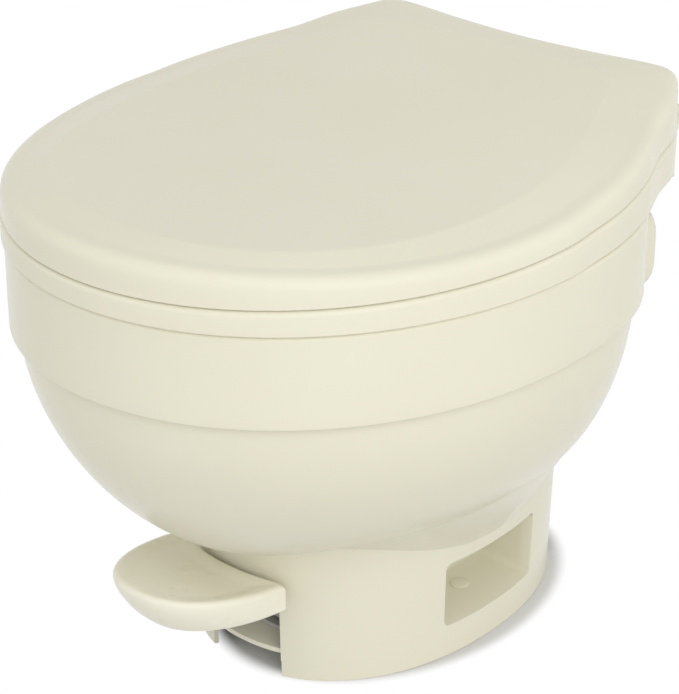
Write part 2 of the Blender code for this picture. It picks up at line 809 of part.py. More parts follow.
def pinion_outline():
    """Involute teeth, (X, Z) about the shaft, the first one centred on +X."""
    base = pitch_radius * math.cos(pressure)
    tip, root = pitch_radius + addendum, pitch_radius - dedendum

    def involute(radius):
        a = math.acos(min(1, base / radius))
        return math.tan(a) - a
    half = (pitch / 2 - backlash) / (2 * pitch_radius)
    points = []
    for tooth in range(teeth):
        middle = 2 * math.pi * tooth / teeth
        flank = [(root, half + involute(pitch_radius))]
        flank += [(r, half + involute(pitch_radius) - involute(r)) for r in np.linspace(base, tip, 3)]
        points += [(r, middle - a) for r, a in flank] + [(r, middle + a) for r, a in flank[::-1]]
    return [(r * math.cos(a), ball_z + r * math.sin(a)) for r, a in points]


shaft_front = gear_front - 0.0028
shaft_in = outlet_y - hub_bore_in - gap
pinion = slab("drive_pinion", pinion_outline(), (gear_front, gear_rear), "Y", grey(), ball_axis)
cut(pinion, rod("pinion_bore", (0, gear_front - overrun, ball_z), (0, gear_rear + overrun, ball_z),
                shaft_radius + gap))
rod("drive_shaft", (0, shaft_front, ball_z), (0, shaft_in, ball_z), shaft_radius, steel(), axis=ball_axis)

# Bushes in the chamber's bosses
bush_in = hub_out + running
bush_out = chamber_radius + boss_long + gap
for name, side in (("shaft_bush_front", -1), ("shaft_bush_rear", 1)):
    middle = outlet_y + side * (bush_in + bush_out) / 2
    reach = (bush_out - bush_in) / 2
    turned(name, [(shaft_radius + gap, reach), (bush_outer, reach), (bush_outer, -reach),
                  (shaft_radius + gap, -reach)], (0, middle, ball_z), white(), direction="Y")

# Rack, with a slotted foot that the pedal arm's pin lifts
rack_axis = empty("rack_axis", (pitch_radius, gear_middle, ball_z), toilet)
rack_back = 0.018
rack_low = 0.0225
rack_high = 0.068
teeth_low = 0.0365
arm_pin = 0.0025
pin_z = 0.030               # pin height with the pedal up
slot_slack = 0.0009         # pin to each end of its slot
slot_half_y = arm_pin + slot_slack


def rack_outline():
    """Rack in (X, Z): straight-sided teeth towards the shaft, a space centred on its height."""
    half = pitch / 4 - backlash / 2
    tip_half, root_half = half - addendum * math.tan(pressure), half + dedendum * math.tan(pressure)
    tip_x, root_x = pitch_radius - addendum, pitch_radius + dedendum
    points = [(rack_back, rack_high), (root_x, rack_high)]
    number = int((rack_high - ball_z) / pitch - 0.5)
    centre = ball_z + (number + 0.5) * pitch
    while centre - root_half > teeth_low:
        if centre + root_half < rack_high:
            points += [(root_x, centre + root_half), (tip_x, centre + tip_half),
                       (tip_x, centre - tip_half), (root_x, centre - root_half)]
        centre -= pitch
    return points + [(root_x, rack_low), (rack_back, rack_low)]


rack = slab("drive_rack", rack_outline(), (gear_front, gear_rear), "Y", white(), rack_axis)
cut(rack, box("pin_slot", (0, rack_back + overrun), (gear_middle - slot_half_y, gear_middle + slot_half_y),
              (pin_z - arm_pin - gap, pin_z + arm_pin + gap), axis=rack_axis))

# Rack guide: two posts, a back plate behind the mesh and a bridge that the return spring pushes against
post = 0.0036
post_x = (0.0085, 0.0180)
guide_back = 0.003
back_low, back_high = 0.054, 0.070
bridge = 0.003
guide_top = 0.097
guide_foot = 0.0115
guide_low = floor_high + gap
slide = 0.0004


def make_guide():
    """Frame of posts, bridge and feet drawn in one outline, and a back plate on two wings."""
    front, rear, top_foot = gear_front - slide - post, gear_rear + slide + post, guide_low + skin
    outline = [(front - guide_foot, guide_low), (front + post, guide_low), (front + post, guide_top - bridge),
               (rear - post, guide_top - bridge), (rear - post, guide_low), (rear + guide_foot, guide_low),
               (rear + guide_foot, top_foot), (rear, top_foot), (rear, guide_top), (front, guide_top),
               (front, top_foot), (front - guide_foot, top_foot)]
    guide = slab("rack_guide", outline, post_x, "X", grey())
    back_x = (rack_back + slide, rack_back + slide + guide_back)
    wing_x = (sum(post_x) / 2, sum(back_x) / 2)
    wing_z = (back_low + guide_back / 2, back_high - guide_back / 2)
    join(guide, box("back", back_x, (front, rear), (back_low, back_high)),
         box("wing", wing_x, (front + post / 8, front + post * 7 / 8), wing_z),
         box("wing", wing_x, (rear - post * 7 / 8, rear - post / 8), wing_z))
    return guide, front, rear


guide, guide_front, guide_rear = make_guide()
guide_x = sum(post_x) / 2
guide_places = [(guide_x, guide_front - guide_foot / 2), (guide_x, guide_rear + guide_foot / 2)]
screws("guide_screw", guide_places, floor_low, guide_low + skin)
screw_holes(guide_places, floor_low - overrun / 2, guide_low + overrun, guide, pedestal)

# Return spring: one unbroken coil between the rack's top and the bridge
spring_turns = 7
spring_mean = 0.0036
spring_wire = 0.0005
points_per_turn = 8
spring_x = rack_back - spring_mean - spring_wire - running


def make_spring():
    low = rack_high + gap + spring_wire
    high = guide_top - bridge - gap - spring_wire
    count = spring_turns * points_per_turn
    turn = 2 * math.pi * np.arange(count + 1) / points_per_turn
    z = np.linspace(low, high, count + 1)
    route = np.stack([spring_x + spring_mean * np.cos(turn), gear_middle + spring_mean * np.sin(turn), z], 1)
    apart = np.linalg.norm(route[:, None] - route[None], axis=2)
    far = np.abs(np.subtract.outer(np.arange(count + 1), np.arange(count + 1))) > points_per_turn // 2
    print("least gap between the spring's coils, mm:", round((apart[far].min() - 2 * spring_wire) * 1000, 2))
    return tube_path("return_spring", route, spring_wire, steel(), 1)


make_spring()

# Pedal: shaft, arm and dish turn about a line across the neck's front
arm_reach = rack_travel / (2 * math.sin(math.radians(pedal_angle / 2)))
pivot_y = gear_middle - arm_reach * math.cos(math.radians(pedal_angle / 2))
pivot_z = pin_z + arm_reach * math.sin(math.radians(pedal_angle / 2))
pedal_axis = empty("pedal_axis", (0, pivot_y, pivot_z), toilet)
pedal_shaft = 0.006
hub_half = 0.0345
hub_size = 0.011
cheek = 0.005
shaft_half = 0.0450
rod("pedal_shaft", (-shaft_half, pivot_y, pivot_z), (shaft_half, pivot_y, pivot_z), pedal_shaft, steel(),
    axis=pedal_axis)

# Pedal bracket: a base plate under the arm's hub with a cheek on each side
cheek_in = hub_half + running
cheek_half = 0.010
cheek_over = 0.012          # cheek above the shaft's middle
bracket_foot = 0.014


def make_pedal_bracket():
    low = floor_high + gap
    half = cheek_in + cheek + bracket_foot
    y = (pivot_y - cheek_half, pivot_y + cheek_half)
    bracket = box("pedal_bracket", (-half, half), y, (low, low + skin), grey())
    for side in (-1, 1):
        x = sorted((side * cheek_in, side * (cheek_in + cheek)))
        join(bracket, box("cheek", x, y, (low, pivot_z + cheek_over)))
    cut(bracket, rod("shaft_bore", (-shaft_half - overrun, pivot_y, pivot_z),
                     (shaft_half + overrun, pivot_y, pivot_z), pedal_shaft + gap))
    return bracket


pedal_bracket = make_pedal_bracket()
bracket_x = cheek_in + cheek + bracket_foot / 2
bracket_places = [(-bracket_x, pivot_y), (bracket_x, pivot_y)]
screws("bracket_screw", bracket_places, floor_low, floor_high + gap + skin)
screw_holes(bracket_places, floor_low - overrun / 2, floor_high + gap + overrun, pedal_bracket, pedestal)

clip_thick = 0.0012
clip_radius = 0.0095


def make_clips():
    for side in (-1, 1):
        start = side * (cheek_in + cheek + running)
        end = start + side * clip_thick
        ends = [(x, pivot_y, pivot_z) for x in (start, end)]
        clip = rod(f"shaft_clip_{HANDS[side]}", *ends, clip_radius, steel(), axis=pedal_axis)
        cut(clip, rod("clip_bore", (0, pivot_y, pivot_z), (start + side * overrun, pivot_y, pivot_z),
                      pedal_shaft + gap))


make_clips()

# Dish of the pedal: half-moon, hugging the neck, hollow below, with a rolled outer edge
dish_x = -0.009             # the dish stands a little to the left of the arm
dish_half = 0.0545
dish_front = neck_front_y - 0.0886
dish_middle = neck_front_y - 0.001     # where the front arc ends
dish_power = 2.35
dish_gap = 0.0045           # to the neck
dish_inner_half = 0.047
dish_rim_rear = 0.0825
dish_rim_front = 0.0965
dish_foot_rear = 0.069
dish_foot_front = 0.080
dish_roll = 0.004
dish_hollow = 0.004
dish_floor_in = 0.016
pad_half = 0.024
pad_front = neck_front_y - 0.0516
pad_rear = neck_front_y - 0.0136
pad_low = 0.063
pad_high = 0.071
DISH_STEPS = 27


def neck_front(x, out=0.0):
    """Y of the neck's front face at X, moved out by a distance."""
    across = np.abs(x / (neck_half + out)) ** neck_power
    return neck_centre - (neck_length + out) * (1 - across) ** (1 / neck_power)


def dish_outline(inward=0.0):
    """Closed outline of the dish: front arc, blunt tips and the edge along the neck."""
    turn = np.linspace(0, math.pi, DISH_STEPS)
    across = np.sign(np.cos(turn)) * np.abs(np.cos(turn)) ** (2 / dish_power)
    ahead = np.abs(np.sin(turn)) ** (2 / dish_power)
    middle = dish_middle - inward
    front = np.stack([dish_x + (dish_half - inward) * across,
                      middle + (dish_front + inward - middle) * ahead], 1)
    x = dish_x + (inward - dish_inner_half) * np.cos(turn)
    inner = np.stack([x, neck_front(x, dish_gap + inward)], 1)
    return np.concatenate([front, inner])


def dish_z(y, rear=dish_rim_rear, front=dish_rim_front):
    """Height of the dish's rim, or of its foot: both fall towards the neck."""
    share = np.clip((y - neck_front_y) / (dish_front - neck_front_y), 0, 1)
    return rear + (front - rear) * share


def make_dish():
    def row(inward, drop):
        line = dish_outline(inward)
        return np.concatenate([line, dish_z(line[:, 1])[:, None] - drop], 1)

    def foot(inward):
        line = dish_outline(inward)
        return np.concatenate([line, dish_z(line[:, 1], dish_foot_rear, dish_foot_front)[:, None]], 1)
    halfway = dish_roll * (1 - math.sqrt(0.5))
    rings = [row(dish_floor_in, dish_hollow + skin), row(skin, dish_hollow + skin), foot(skin), foot(0),
             row(0, dish_roll), row(halfway, halfway), row(dish_roll, 0), row(dish_floor_in, dish_hollow)]
    dish = loft("pedal", rings, "across", cream(), pedal_axis)
    low = pad_high + gap
    wedge = [(pad_front, low), (pad_rear, low), (pad_rear, float(dish_z(pad_rear)) - skin),
             (pad_front, float(dish_z(pad_front)) - dish_hollow - skin / 2)]
    join(dish, slab("pad", wedge, (-pad_half, pad_half), "X"))
    return dish


pedal = make_dish()

# Arm: hub on the shaft, a tongue out to the dish and a plate back to the rack's pin
plate_x = (rack_back + running, rack_back + running + 0.006)
plate_half = 0.009
eye_half = 0.0055


def make_arm():
    arm = rod("pedal_arm", (-hub_half, pivot_y, pivot_z), (hub_half, pivot_y, pivot_z), hub_size, grey(),
              axis=pedal_axis)
    under = [(pivot_y, pivot_z - hub_size / 2), (pad_rear, pad_low), (pad_front, pad_low)]
    over = [(pad_front, pad_high), (pad_rear, pad_high), (pivot_y - hub_size, pivot_z + hub_size),
            (pivot_y, pivot_z + hub_size / 2)]
    pin_y = gear_middle
    link = [(pivot_y, pivot_z - plate_half), (pin_y, pin_z - eye_half), (pin_y, pin_z + eye_half),
            (pivot_y, pivot_z + plate_half)]
    pin_ends = [(x, pin_y, pin_z) for x in (pitch_radius + arm_pin, plate_x[1] - running)]
    join(arm, slab("tongue", under + over, (-pad_half, pad_half), "X"), slab("link", link, plate_x, "X"),
         rod("eye", (plate_x[0], pin_y, pin_z), (plate_x[1], pin_y, pin_z), eye_half),
         rod("arm_pin", *pin_ends, arm_pin))
    bore_ends = [(x, pivot_y, pivot_z) for x in (-shaft_half, shaft_half)]
    cut(arm, rod("hub_bore", *bore_ends, pedal_shaft + gap))
    return arm


pedal_arm = make_arm()
pad_screw_y = (pad_front + pad_rear) / 2
pad_places = [(-pad_half / 2, pad_screw_y), (pad_half / 2, pad_screw_y)]
pad_screw_top = float(dish_z(pad_screw_y)) - dish_hollow - skin
screws("pedal_screw", pad_places, pad_screw_top, pad_low, -1, pedal_axis)
screw_holes(pad_places, pad_low - overrun, pad_screw_top + gap, pedal, pedal_arm)

# Rear shaft, cam and water valve: the cam pushes the plunger out along -X as the ball turns
cam_front = outlet_y + chamber_radius + boss_long + 0.014
cam_rear = cam_front + 0.008
cam_small = 0.009
cam_rise = 0.004            # plunger travel over the ball's turn
cam_lead = 14               # degrees of even radius past each end of the rise
cam_step = 12
shaft_out = cam_rear + 0.003
rod("rear_shaft", (0, outlet_y + hub_bore_in + gap, ball_z), (0, shaft_out, ball_z), shaft_radius, steel(),
    axis=ball_axis)


def cam_outline():
    """Spiral cam in (X, Z): the radius that comes round to -X grows evenly with the ball's turn."""
    points = []
    for degrees in range(0, 360, cam_step):
        turned_by = (180 - degrees) % 360
        share = min(turned_by / ball_angle, 1) if turned_by <= ball_angle + cam_lead else 0
        radius, angle = cam_small + cam_rise * share, math.radians(degrees)
        points.append((radius * math.cos(angle), ball_z + radius * math.sin(angle)))
    return points


cam = slab("valve_cam", cam_outline(), (cam_front, cam_rear), "Y", white(), ball_axis)
cut(cam, rod("cam_bore", (0, cam_front - overrun, ball_z), (0, cam_rear + overrun, ball_z),
             shaft_radius + gap))

# Water valve: a body with its ports to the rear, on a bracket on the pedestal's floor
valve_y = (cam_front + cam_rear) / 2
valve_hand = -1             # the valve lies on this side of the shaft
valve_x = (valve_hand * 0.024, valve_hand * 0.062)
valve_radius = 0.012
stem_radius = 0.003
tip_radius = 0.0045
tip_long = 0.004
cam_gap = 0.0008
port_x = (valve_hand * 0.034, valve_hand * 0.052)     # outlet barb, inlet
port_radius = 0.0075
barb_end = 0.167
inlet_seat = 0.180
barb_radius = 0.005
plunger_axis = empty("plunger_axis", (valve_hand * (cam_small + cam_gap), valve_y, ball_z), toilet)


def make_valve():
    ends = [(x, valve_y, ball_z) for x in valve_x]
    body = rod("water_valve", *ends, valve_radius, grey())
    join(body, rod("outlet_barb", (port_x[0], valve_y, ball_z), (port_x[0], barb_end, ball_z), barb_radius),
         rod("inlet_port", (port_x[1], valve_y, ball_z), (port_x[1], inlet_seat, ball_z), port_radius))
    bore_start = valve_y + valve_radius
    cut(body, rod("stem_bore", (valve_x[0] - valve_hand * overrun, valve_y, ball_z),
                  (port_x[0] - valve_hand * barb_radius, valve_y, ball_z), stem_radius + gap),
        rod("barb_bore", (port_x[0], bore_start, ball_z), (port_x[0], barb_end + overrun, ball_z),
            barb_radius / 2),
        rod("port_bore", (port_x[1], bore_start, ball_z), (port_x[1], inlet_seat + overrun, ball_z),
            barb_radius))


make_valve()


def make_plunger():
    tip, tip_end = valve_hand * (cam_small + cam_gap), valve_hand * (cam_small + cam_gap + tip_long)
    stem_end = valve_x[0] + valve_hand * cam_gap
    stem = rod("valve_plunger", (tip, valve_y, ball_z), (stem_end, valve_y, ball_z), stem_radius, steel(),
               axis=plunger_axis)
    join(stem, rod("tip", (tip, valve_y, ball_z), (tip_end, valve_y, ball_z), tip_radius / 2,
                   axis=plunger_axis, tip=tip_radius))


make_plunger()
saddle_x = sorted((valve_hand * 0.040, valve_hand * 0.058))
saddle_half = 0.009


def make_valve_bracket():
    saddle = box("valve_bracket", saddle_x, (valve_y - saddle_half, valve_y + saddle_half),
                 (floor_high + gap, ball_z - valve_radius / 2), grey())
    bore_ends = [(saddle_x[0] - overrun, valve_y, ball_z), (saddle_x[1] + overrun, valve_y, ball_z)]
    cut(saddle, rod("saddle_bore", *bore_ends, valve_radius + gap),
        rod("port_clear", (port_x[1], valve_y, ball_z), (port_x[1], inlet_seat, ball_z), port_radius + gap))


make_valve_bracket()

# Inlet fitting: hex and male thread to the rear, with a filter disc in its bore
hex_radius = 0.0135
hex_long = 0.010
thread_radius = 0.0104
filter_thick = 0.001
inlet_bore = 0.006


def make_inlet():
    x, start, inside_hex = port_x[1], inlet_seat + gap, inlet_seat + hex_long / 2
    fitting = rod("inlet_fitting", (x, start, ball_z), (x, start + hex_long, ball_z), hex_radius, brass(), 6)
    join(fitting, rod("thread", (x, inside_hex, ball_z), (x, inlet_end, ball_z), thread_radius))
    bore_ends = [(x, start - overrun, ball_z), (x, inlet_end + overrun, ball_z)]
    cut(fitting, rod("inlet_bore", *bore_ends, inlet_bore))
    filter_rear = inlet_end - hex_long
    rod("inlet_filter", (x, filter_rear - filter_thick, ball_z), (x, filter_rear, ball_z), inlet_bore - gap,
        steel())


make_inlet()

# Vacuum breaker on the bowl's back, and the nozzle that carries its water into the basin
breaker_x = -0.045
breaker_y = band_rear + 0.013
breaker_radius = 0.0145
breaker_high = step_z - 0.009
breaker_low = breaker_high - 0.044
breaker_cap = 0.007
nozzle_z = breaker_high - 0.012
nozzle_radius = 0.006
breaker_barb = 0.014


def make_breaker():
    x, y, barb_low = breaker_x, breaker_y, breaker_low - breaker_barb
    spout_front = y - breaker_radius - skin
    body = rod("vacuum_breaker", (x, y, breaker_low), (x, y, breaker_high), breaker_radius, grey())
    join(body, rod("barb", (x, y, barb_low), (x, y, nozzle_z), barb_radius),
         rod("spout", (x, y, nozzle_z), (x, spout_front, nozzle_z), nozzle_radius + skin))
    cut(body, rod("barb_bore", (x, y, barb_low - overrun), (x, y, breaker_low), barb_radius / 2),
        rod("spout_bore", (x, y, nozzle_z), (x, spout_front - overrun, nozzle_z), nozzle_radius + gap))
    turned("breaker_cap", [(0, breaker_cap), (breaker_radius - skin, breaker_cap), (breaker_radius, skin),
                           (breaker_radius, 0), (0, 0)],
           (breaker_x, breaker_y, breaker_high + gap), white())


make_breaker()


def make_nozzle():
    """Straight tube through the bowl's back wall and the basin's wall."""
    rear = breaker_y - gap
    front = open_rear - 2 * throat_z
    x, past = breaker_x, (breaker_x, front - overrun, nozzle_z)
    tube = rod("rinse_nozzle", (x, rear, nozzle_z), (x, front, nozzle_z), nozzle_radius, white())
    cut(tube, rod("nozzle_bore", (x, rear + overrun, nozzle_z), past, nozzle_radius - skin / 2))
    for target in (bowl_shell, basin):
        cut(target, rod("nozzle_hole", (x, breaker_y, nozzle_z), past, nozzle_radius + gap))


make_nozzle()

# Fill hose from the valve's barb, out of the service opening and up the bowl's back
hose_radius = 0.0068
hose_bend = 0.018
hose_start = 0.155
# Between its ends it leans away from the inlet fitting and climbs behind the pedestal: X as a share of the
# port's, then Y behind the pedestal and height above the valve, both in bends.
hose_bends = [(0.80, 0.1, 0.2), (0.66, 0.8, 1.5), (0.70, 0.85, 3.4)]


def make_hose():
    up = breaker_low - gap * 2
    x = port_x[0]
    route = [(x, hose_start + bends * hose_bend, ball_z) for bends in (-1, 0, 1)]
    neck_rear_y = neck_centre + neck_length
    route += [(x * share, neck_rear_y + behind * hose_bend, ball_z + above * hose_bend)
              for share, behind, above in hose_bends]
    route += [(breaker_x, breaker_y, up + bends * hose_bend) for bends in (-2.4, -1, 0, 1)]
    line = smooth_path(route, 4)
    hose = tube_path("fill_hose", line, hose_radius, rubber(), 2)
    barb_low = breaker_low - breaker_barb
    for start, end in (((x, hose_start - overrun, ball_z), (x, barb_end + gap, ball_z)),
                       ((breaker_x, breaker_y, up + overrun), (breaker_x, breaker_y, barb_low - gap))):
        cut(hose, rod("hose_bore", start, end, barb_radius + gap))


make_hose()

# Hinge brackets: a rounded lug behind each rear corner of the bowl, with an arm up to the hinge eye
lug_x = (eye[0] - 0.0115, eye[1] + 0.0275)
lug_y = (band_rear - 0.056, band_rear - 0.007)
lug_z = (step_z - 0.027, rim_z - 0.025)
lug_round = 0.012
leg_half = 0.003
arm_low = lug_z[1] - 0.004
arm_high = lug_z[1] + 0.003


def make_bowl_space():
    """Space of the bowl's upper part, a gap larger, that the brackets are cut with."""
    shadow = [ring(inset(step_line, -gap), lug_z[0] - overrun * 2)]
    shadow += [ring(inset(step_line, -gap), step_z - gap), ring(inset(band_line, -gap), step_z - gap),
               ring(inset(band_line, -gap), rim_z + overrun)]
    return loft("bowl_space", shadow, "fan")


def make_bracket(side):
    x = sorted((side * lug_x[0], side * lug_x[1]))
    lug = box(f"hinge_bracket_{HANDS[side]}", x, lug_y, lug_z, cream())
    soften = lug.modifiers.new("Round", "BEVEL")
    soften.width = lug_round
    soften.segments = 3
    eye_x = sorted((side * eye[0], side * eye[1]))
    root_y, face_y, rib_low = lug_y[1] - lug_round / 2, lug_y[1] + leg_half, lug_z[0] + 2 * lug_round
    leg_front, leg_rear = hinge_y - leg_half, hinge_y + leg_half
    outline = [(root_y, rib_low), (face_y, rib_low), (face_y, arm_low), (leg_rear, arm_low),
               (leg_rear, hinge_z), (leg_front, hinge_z), (leg_front, arm_high), (root_y, arm_high)]
    barrel = rod("eye", (eye_x[0], hinge_y, hinge_z), (eye_x[1], hinge_y, hinge_z), knuckle)
    join(barrel, slab("arm", outline, (eye_x[0] + gap, eye_x[1] - gap), "X"))
    join(lug, barrel)
    cut(lug, bowl_space)
    bore_ends = [(eye_x[0] - overrun, hinge_y, hinge_z), (eye_x[1] + overrun, hinge_y, hinge_z)]
    cut(lug, rod("eye_bore", *bore_ends, pin_radius + gap))
    return lug


bowl_space = make_bowl_space()
brackets = {side: make_bracket(side) for side in (-1, 1)}

# Hinge bolts through the lugs into the bowl's back, and the pins of the hinges
hinge_bolt_x = eye[1] + 0.0095
hinge_bolt_z = sum(lug_z) / 2
hinge_bolt = 0.0025
hinge_bolt_head = 0.005
hinge_bolt_high = 0.003
hinge_bolt_long = 0.048


def make_hinge_bolt(side):
    x, z, start = side * hinge_bolt_x, hinge_bolt_z, lug_y[1] + gap
    end, head_top = start - hinge_bolt_long, start + hinge_bolt_high
    bolt = rod(f"hinge_bolt_{HANDS[side]}", (x, (start + head_top) / 2, z), (x, end, z), hinge_bolt, steel(),
               SCREW_SIDES)
    join(bolt, rod("bolt_head", (x, start, z), (x, head_top, z), hinge_bolt_head, steel(), 6))
    for target in (brackets[side], bowl_shell):
        cut(target, rod("bolt_clear", (x, start, z), (x, end - gap, z), hinge_bolt + gap, sides=SCREW_SIDES))


make_hinge_bolt(-1)
make_hinge_bolt(1)
pin_head = 0.0045
pin_head_long = 0.002


def make_pin(side):
    start = side * (lid_knuckle[0] - gap)
    head_end = start - side * pin_head_long
    pin = rod(f"hinge_pin_{HANDS[side]}", ((start + head_end) / 2, hinge_y, hinge_z),
              (side * seat_knuckle[1], hinge_y, hinge_z), pin_radius, steel(), SCREW_SIDES)
    join(pin, rod("pin_head", (start, hinge_y, hinge_z), (head_end, hinge_y, hinge_z), pin_head))


make_pin(-1)
make_pin(1)

# Floor seal round the spigot, and the snap-in plugs that close the two bolt holes in the pockets' floors
floor_seal = 0.052
plug_head = 0.0075
plug_high = 0.0016
plug_edge = 0.0006
turned("floor_seal", [(spigot + gap, floor_low - gap), (floor_seal, floor_low - gap), (floor_seal, gap),
                      (spigot + gap, gap)], (0, outlet_y, 0), rubber(), steps=DRUM_SIDES)


def make_bolt_plug(side):
    """Plug turned about its hole: a low domed head on the pocket's floor and a stem that fills the hole."""
    low, stem, crest = pocket_low + gap, bolt_hole - gap, pocket_low + gap + plug_high
    profile = [(0, crest), (plug_head / 2, crest), (plug_head, low + plug_edge), (plug_head, low),
               (stem, low), (stem, floor_low), (0, floor_low)]
    turned(f"bolt_plug_{HANDS[side]}", profile, (side * bolt_x, outlet_y, 0), cream())


make_bolt_plug(-1)
make_bolt_plug(1)
bpy.context.view_layer.update()
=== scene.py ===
"""Low-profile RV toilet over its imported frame: cream mouldings, valve, drive, water side, seat and lid."""
import math

import bpy
import numpy as np
from mathutils import Matrix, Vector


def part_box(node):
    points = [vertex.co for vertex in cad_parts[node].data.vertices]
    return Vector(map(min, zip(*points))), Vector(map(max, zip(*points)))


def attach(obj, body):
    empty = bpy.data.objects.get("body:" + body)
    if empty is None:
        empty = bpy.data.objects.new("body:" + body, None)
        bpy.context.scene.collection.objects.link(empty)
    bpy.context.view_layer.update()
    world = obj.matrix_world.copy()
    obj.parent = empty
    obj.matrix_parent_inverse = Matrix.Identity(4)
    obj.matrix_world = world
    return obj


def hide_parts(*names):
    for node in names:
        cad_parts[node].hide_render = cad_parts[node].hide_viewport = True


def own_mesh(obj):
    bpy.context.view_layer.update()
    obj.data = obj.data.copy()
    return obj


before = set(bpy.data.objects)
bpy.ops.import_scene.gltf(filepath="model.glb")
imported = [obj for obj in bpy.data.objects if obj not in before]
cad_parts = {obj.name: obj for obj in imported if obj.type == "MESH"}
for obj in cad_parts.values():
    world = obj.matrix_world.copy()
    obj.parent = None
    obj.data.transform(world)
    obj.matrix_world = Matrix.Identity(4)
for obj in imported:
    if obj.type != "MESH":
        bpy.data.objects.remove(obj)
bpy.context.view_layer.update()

# Camera: a long lens from above the front right, at the photograph's viewing angle.
camera_at = (0.98412, -1.14823, 0.93607)
camera_axes = [(0.760355, 0.649502, 0.001845), (-0.281975, 0.327539, 0.901774),
               (0.585107, -0.686196, 0.432195)]
lens_mm = 125.20
camera = bpy.data.objects.new("camera", bpy.data.cameras.new("camera"))
bpy.context.scene.collection.objects.link(camera)
camera.data.lens = lens_mm
camera.data.clip_end = 30
camera.matrix_world = Matrix.Translation(camera_at) @ Matrix(camera_axes).transposed().to_4x4()
bpy.context.scene.camera = camera

# Floor and light: a pale floor that reads white to the camera and keeps the shadow round the foot, a broad
# softbox from the right, weaker ones from the front left and above, and a sky brightest at its horizon.


class Value:
    """Socket of a material's tree. Arithmetic on it adds the Math node of that name."""

    def __init__(self, finish, socket):
        self.finish = finish
        self.socket = socket

    def math(self, operation, first, second):
        return self.finish.node("Math", {"operation": operation}, {0: first, 1: second})

    def __add__(self, other):
        return self.math("ADD", self, other)

    def __mul__(self, other):
        return self.math("MULTIPLY", self, other)

    __radd__ = __add__
    __rmul__ = __mul__


class Finish:
    """Tree of one material or world: node() adds any node, and surface() wires a Principled shader."""

    def __init__(self, name, family=bpy.data.materials):
        self.owner = family.new(name)
        self.owner.use_nodes = True
        self.tree = self.owner.node_tree
        self.tree.nodes.clear()
        self.place = self.node("TexCoord", out="Object")

    def node(self, kind, settings=None, sockets=None, out=0):
        """Node of a type: its settings first, then a value or a link for each socket."""
        made = self.tree.nodes.new("ShaderNode" + kind)
        for key, value in (settings or {}).items():
            setattr(made, key, value)
        for key, value in (sockets or {}).items():
            if isinstance(value, Value):
                self.tree.links.new(value.socket, made.inputs[key])
            else:
                made.inputs[key].default_value = value
        return Value(self, made.outputs[out]) if len(made.outputs) else made

    def noise(self, scale, detail=2.0):
        """Noise from 0 to 1 on Object coordinates; scale is features per metre."""
        return self.node("TexNoise", None, {"Vector": self.place, "Scale": scale, "Detail": detail})

    def blend(self, share, low, high):
        """Colour between two, by a share."""
        return self.node("Mix", {"data_type": "RGBA"}, {0: share, 6: low, 7: high}, out=2)

    def spread(self, share, low, high):
        """Number between two, by a share."""
        return self.node("MapRange", None, {"Value": share, "To Min": low, "To Max": high})

    def bump(self, height, distance):
        """Normal of a height that is as deep as the distance in metres."""
        return self.node("Bump", None, {"Height": height, "Distance": distance}, out="Normal")

    def surface(self, **sockets):
        """Principled shader to the output, with sockets named by their labels."""
        named = {key.replace("_", " "): value for key, value in sockets.items()}
        shader = self.node("BsdfPrincipled", None, named)
        self.node("OutputMaterial", None, {"Surface": shader})
        return self.owner


def paint(red, green, blue):
    """Colour given as sRGB from 0 to 255, as the linear colour that a shader takes."""
    return (*[((c / 255 + 0.055) / 1.055) ** 2.4 for c in (red, green, blue)], 1.0)


floor_grey = (0.72, 0.72, 0.72, 1)
floor_half = 6
foot_reach = (0.112, 0.150)
foot_x = 0.006
foot_y = 0.0568
shadow_from = 0.95
shadow_to = 1.06
horizon_level = 1.0
zenith_level = 0.55
horizon_top = 0.65          # height of the direction, from 0 to 1, where the horizon's glow has faded


def make_floor():
    """Square floor, whose glow for the camera grows outwards from the foot, so the shadow there stays."""
    mesh = bpy.data.meshes.new("floor")
    corners = [(x * floor_half, y * floor_half, 0) for x, y in ((-1, -1), (1, -1), (1, 1), (-1, 1))]
    mesh.from_pydata(corners, [], [(0, 1, 2, 3)])
    floor = bpy.data.objects.new("floor", mesh)
    bpy.context.scene.collection.objects.link(floor)
    look = Finish("pale_floor")
    centred = look.node("Mapping", {"vector_type": "TEXTURE"},
                        {"Vector": look.place, "Location": (foot_x, foot_y, 0), "Scale": (*foot_reach, 1)})
    away = look.node("VectorMath", {"operation": "LENGTH"}, {0: centred}, out="Value")
    glow = look.node("MapRange", {"interpolation_type": "SMOOTHSTEP"},
                     {"Value": away, "From Min": shadow_from, "From Max": shadow_to})
    seen = look.node("Math", {"operation": "MAXIMUM"}, {0: look.node("LightPath", out="Is Camera Ray"),
                                                        1: look.node("LightPath", out="Is Glossy Ray")})
    plain = look.node("BsdfDiffuse", None, {"Color": floor_grey})
    white = look.node("Emission", None, {"Color": (1, 1, 1, 1), "Strength": 1.0})
    both = look.node("MixShader", None, {0: glow, 1: plain, 2: white})
    look.node("OutputMaterial", None, {"Surface": look.node("MixShader", None, {0: seen, 1: plain, 2: both})})
    mesh.materials.append(look.owner)


def make_sky():
    """World that fades from its horizon to its zenith, and is white to the camera."""
    look = Finish("studio", bpy.data.worlds)
    upward = look.node("SeparateXYZ", None, {0: look.node("TexCoord", out="Generated")}, out="Z")
    fade = look.node("MapRange", None, {"Value": upward, "From Max": horizon_top, "To Min": horizon_level,
                                        "To Max": zenith_level})
    level = look.node("Math", {"operation": "MAXIMUM"}, {0: look.node("LightPath", out="Is Camera Ray"), 1: fade})
    glow = look.node("Background", None, {"Color": (1, 1, 1, 1), "Strength": level})
    look.node("OutputWorld", None, {"Surface": glow})
    bpy.context.scene.world = look.owner


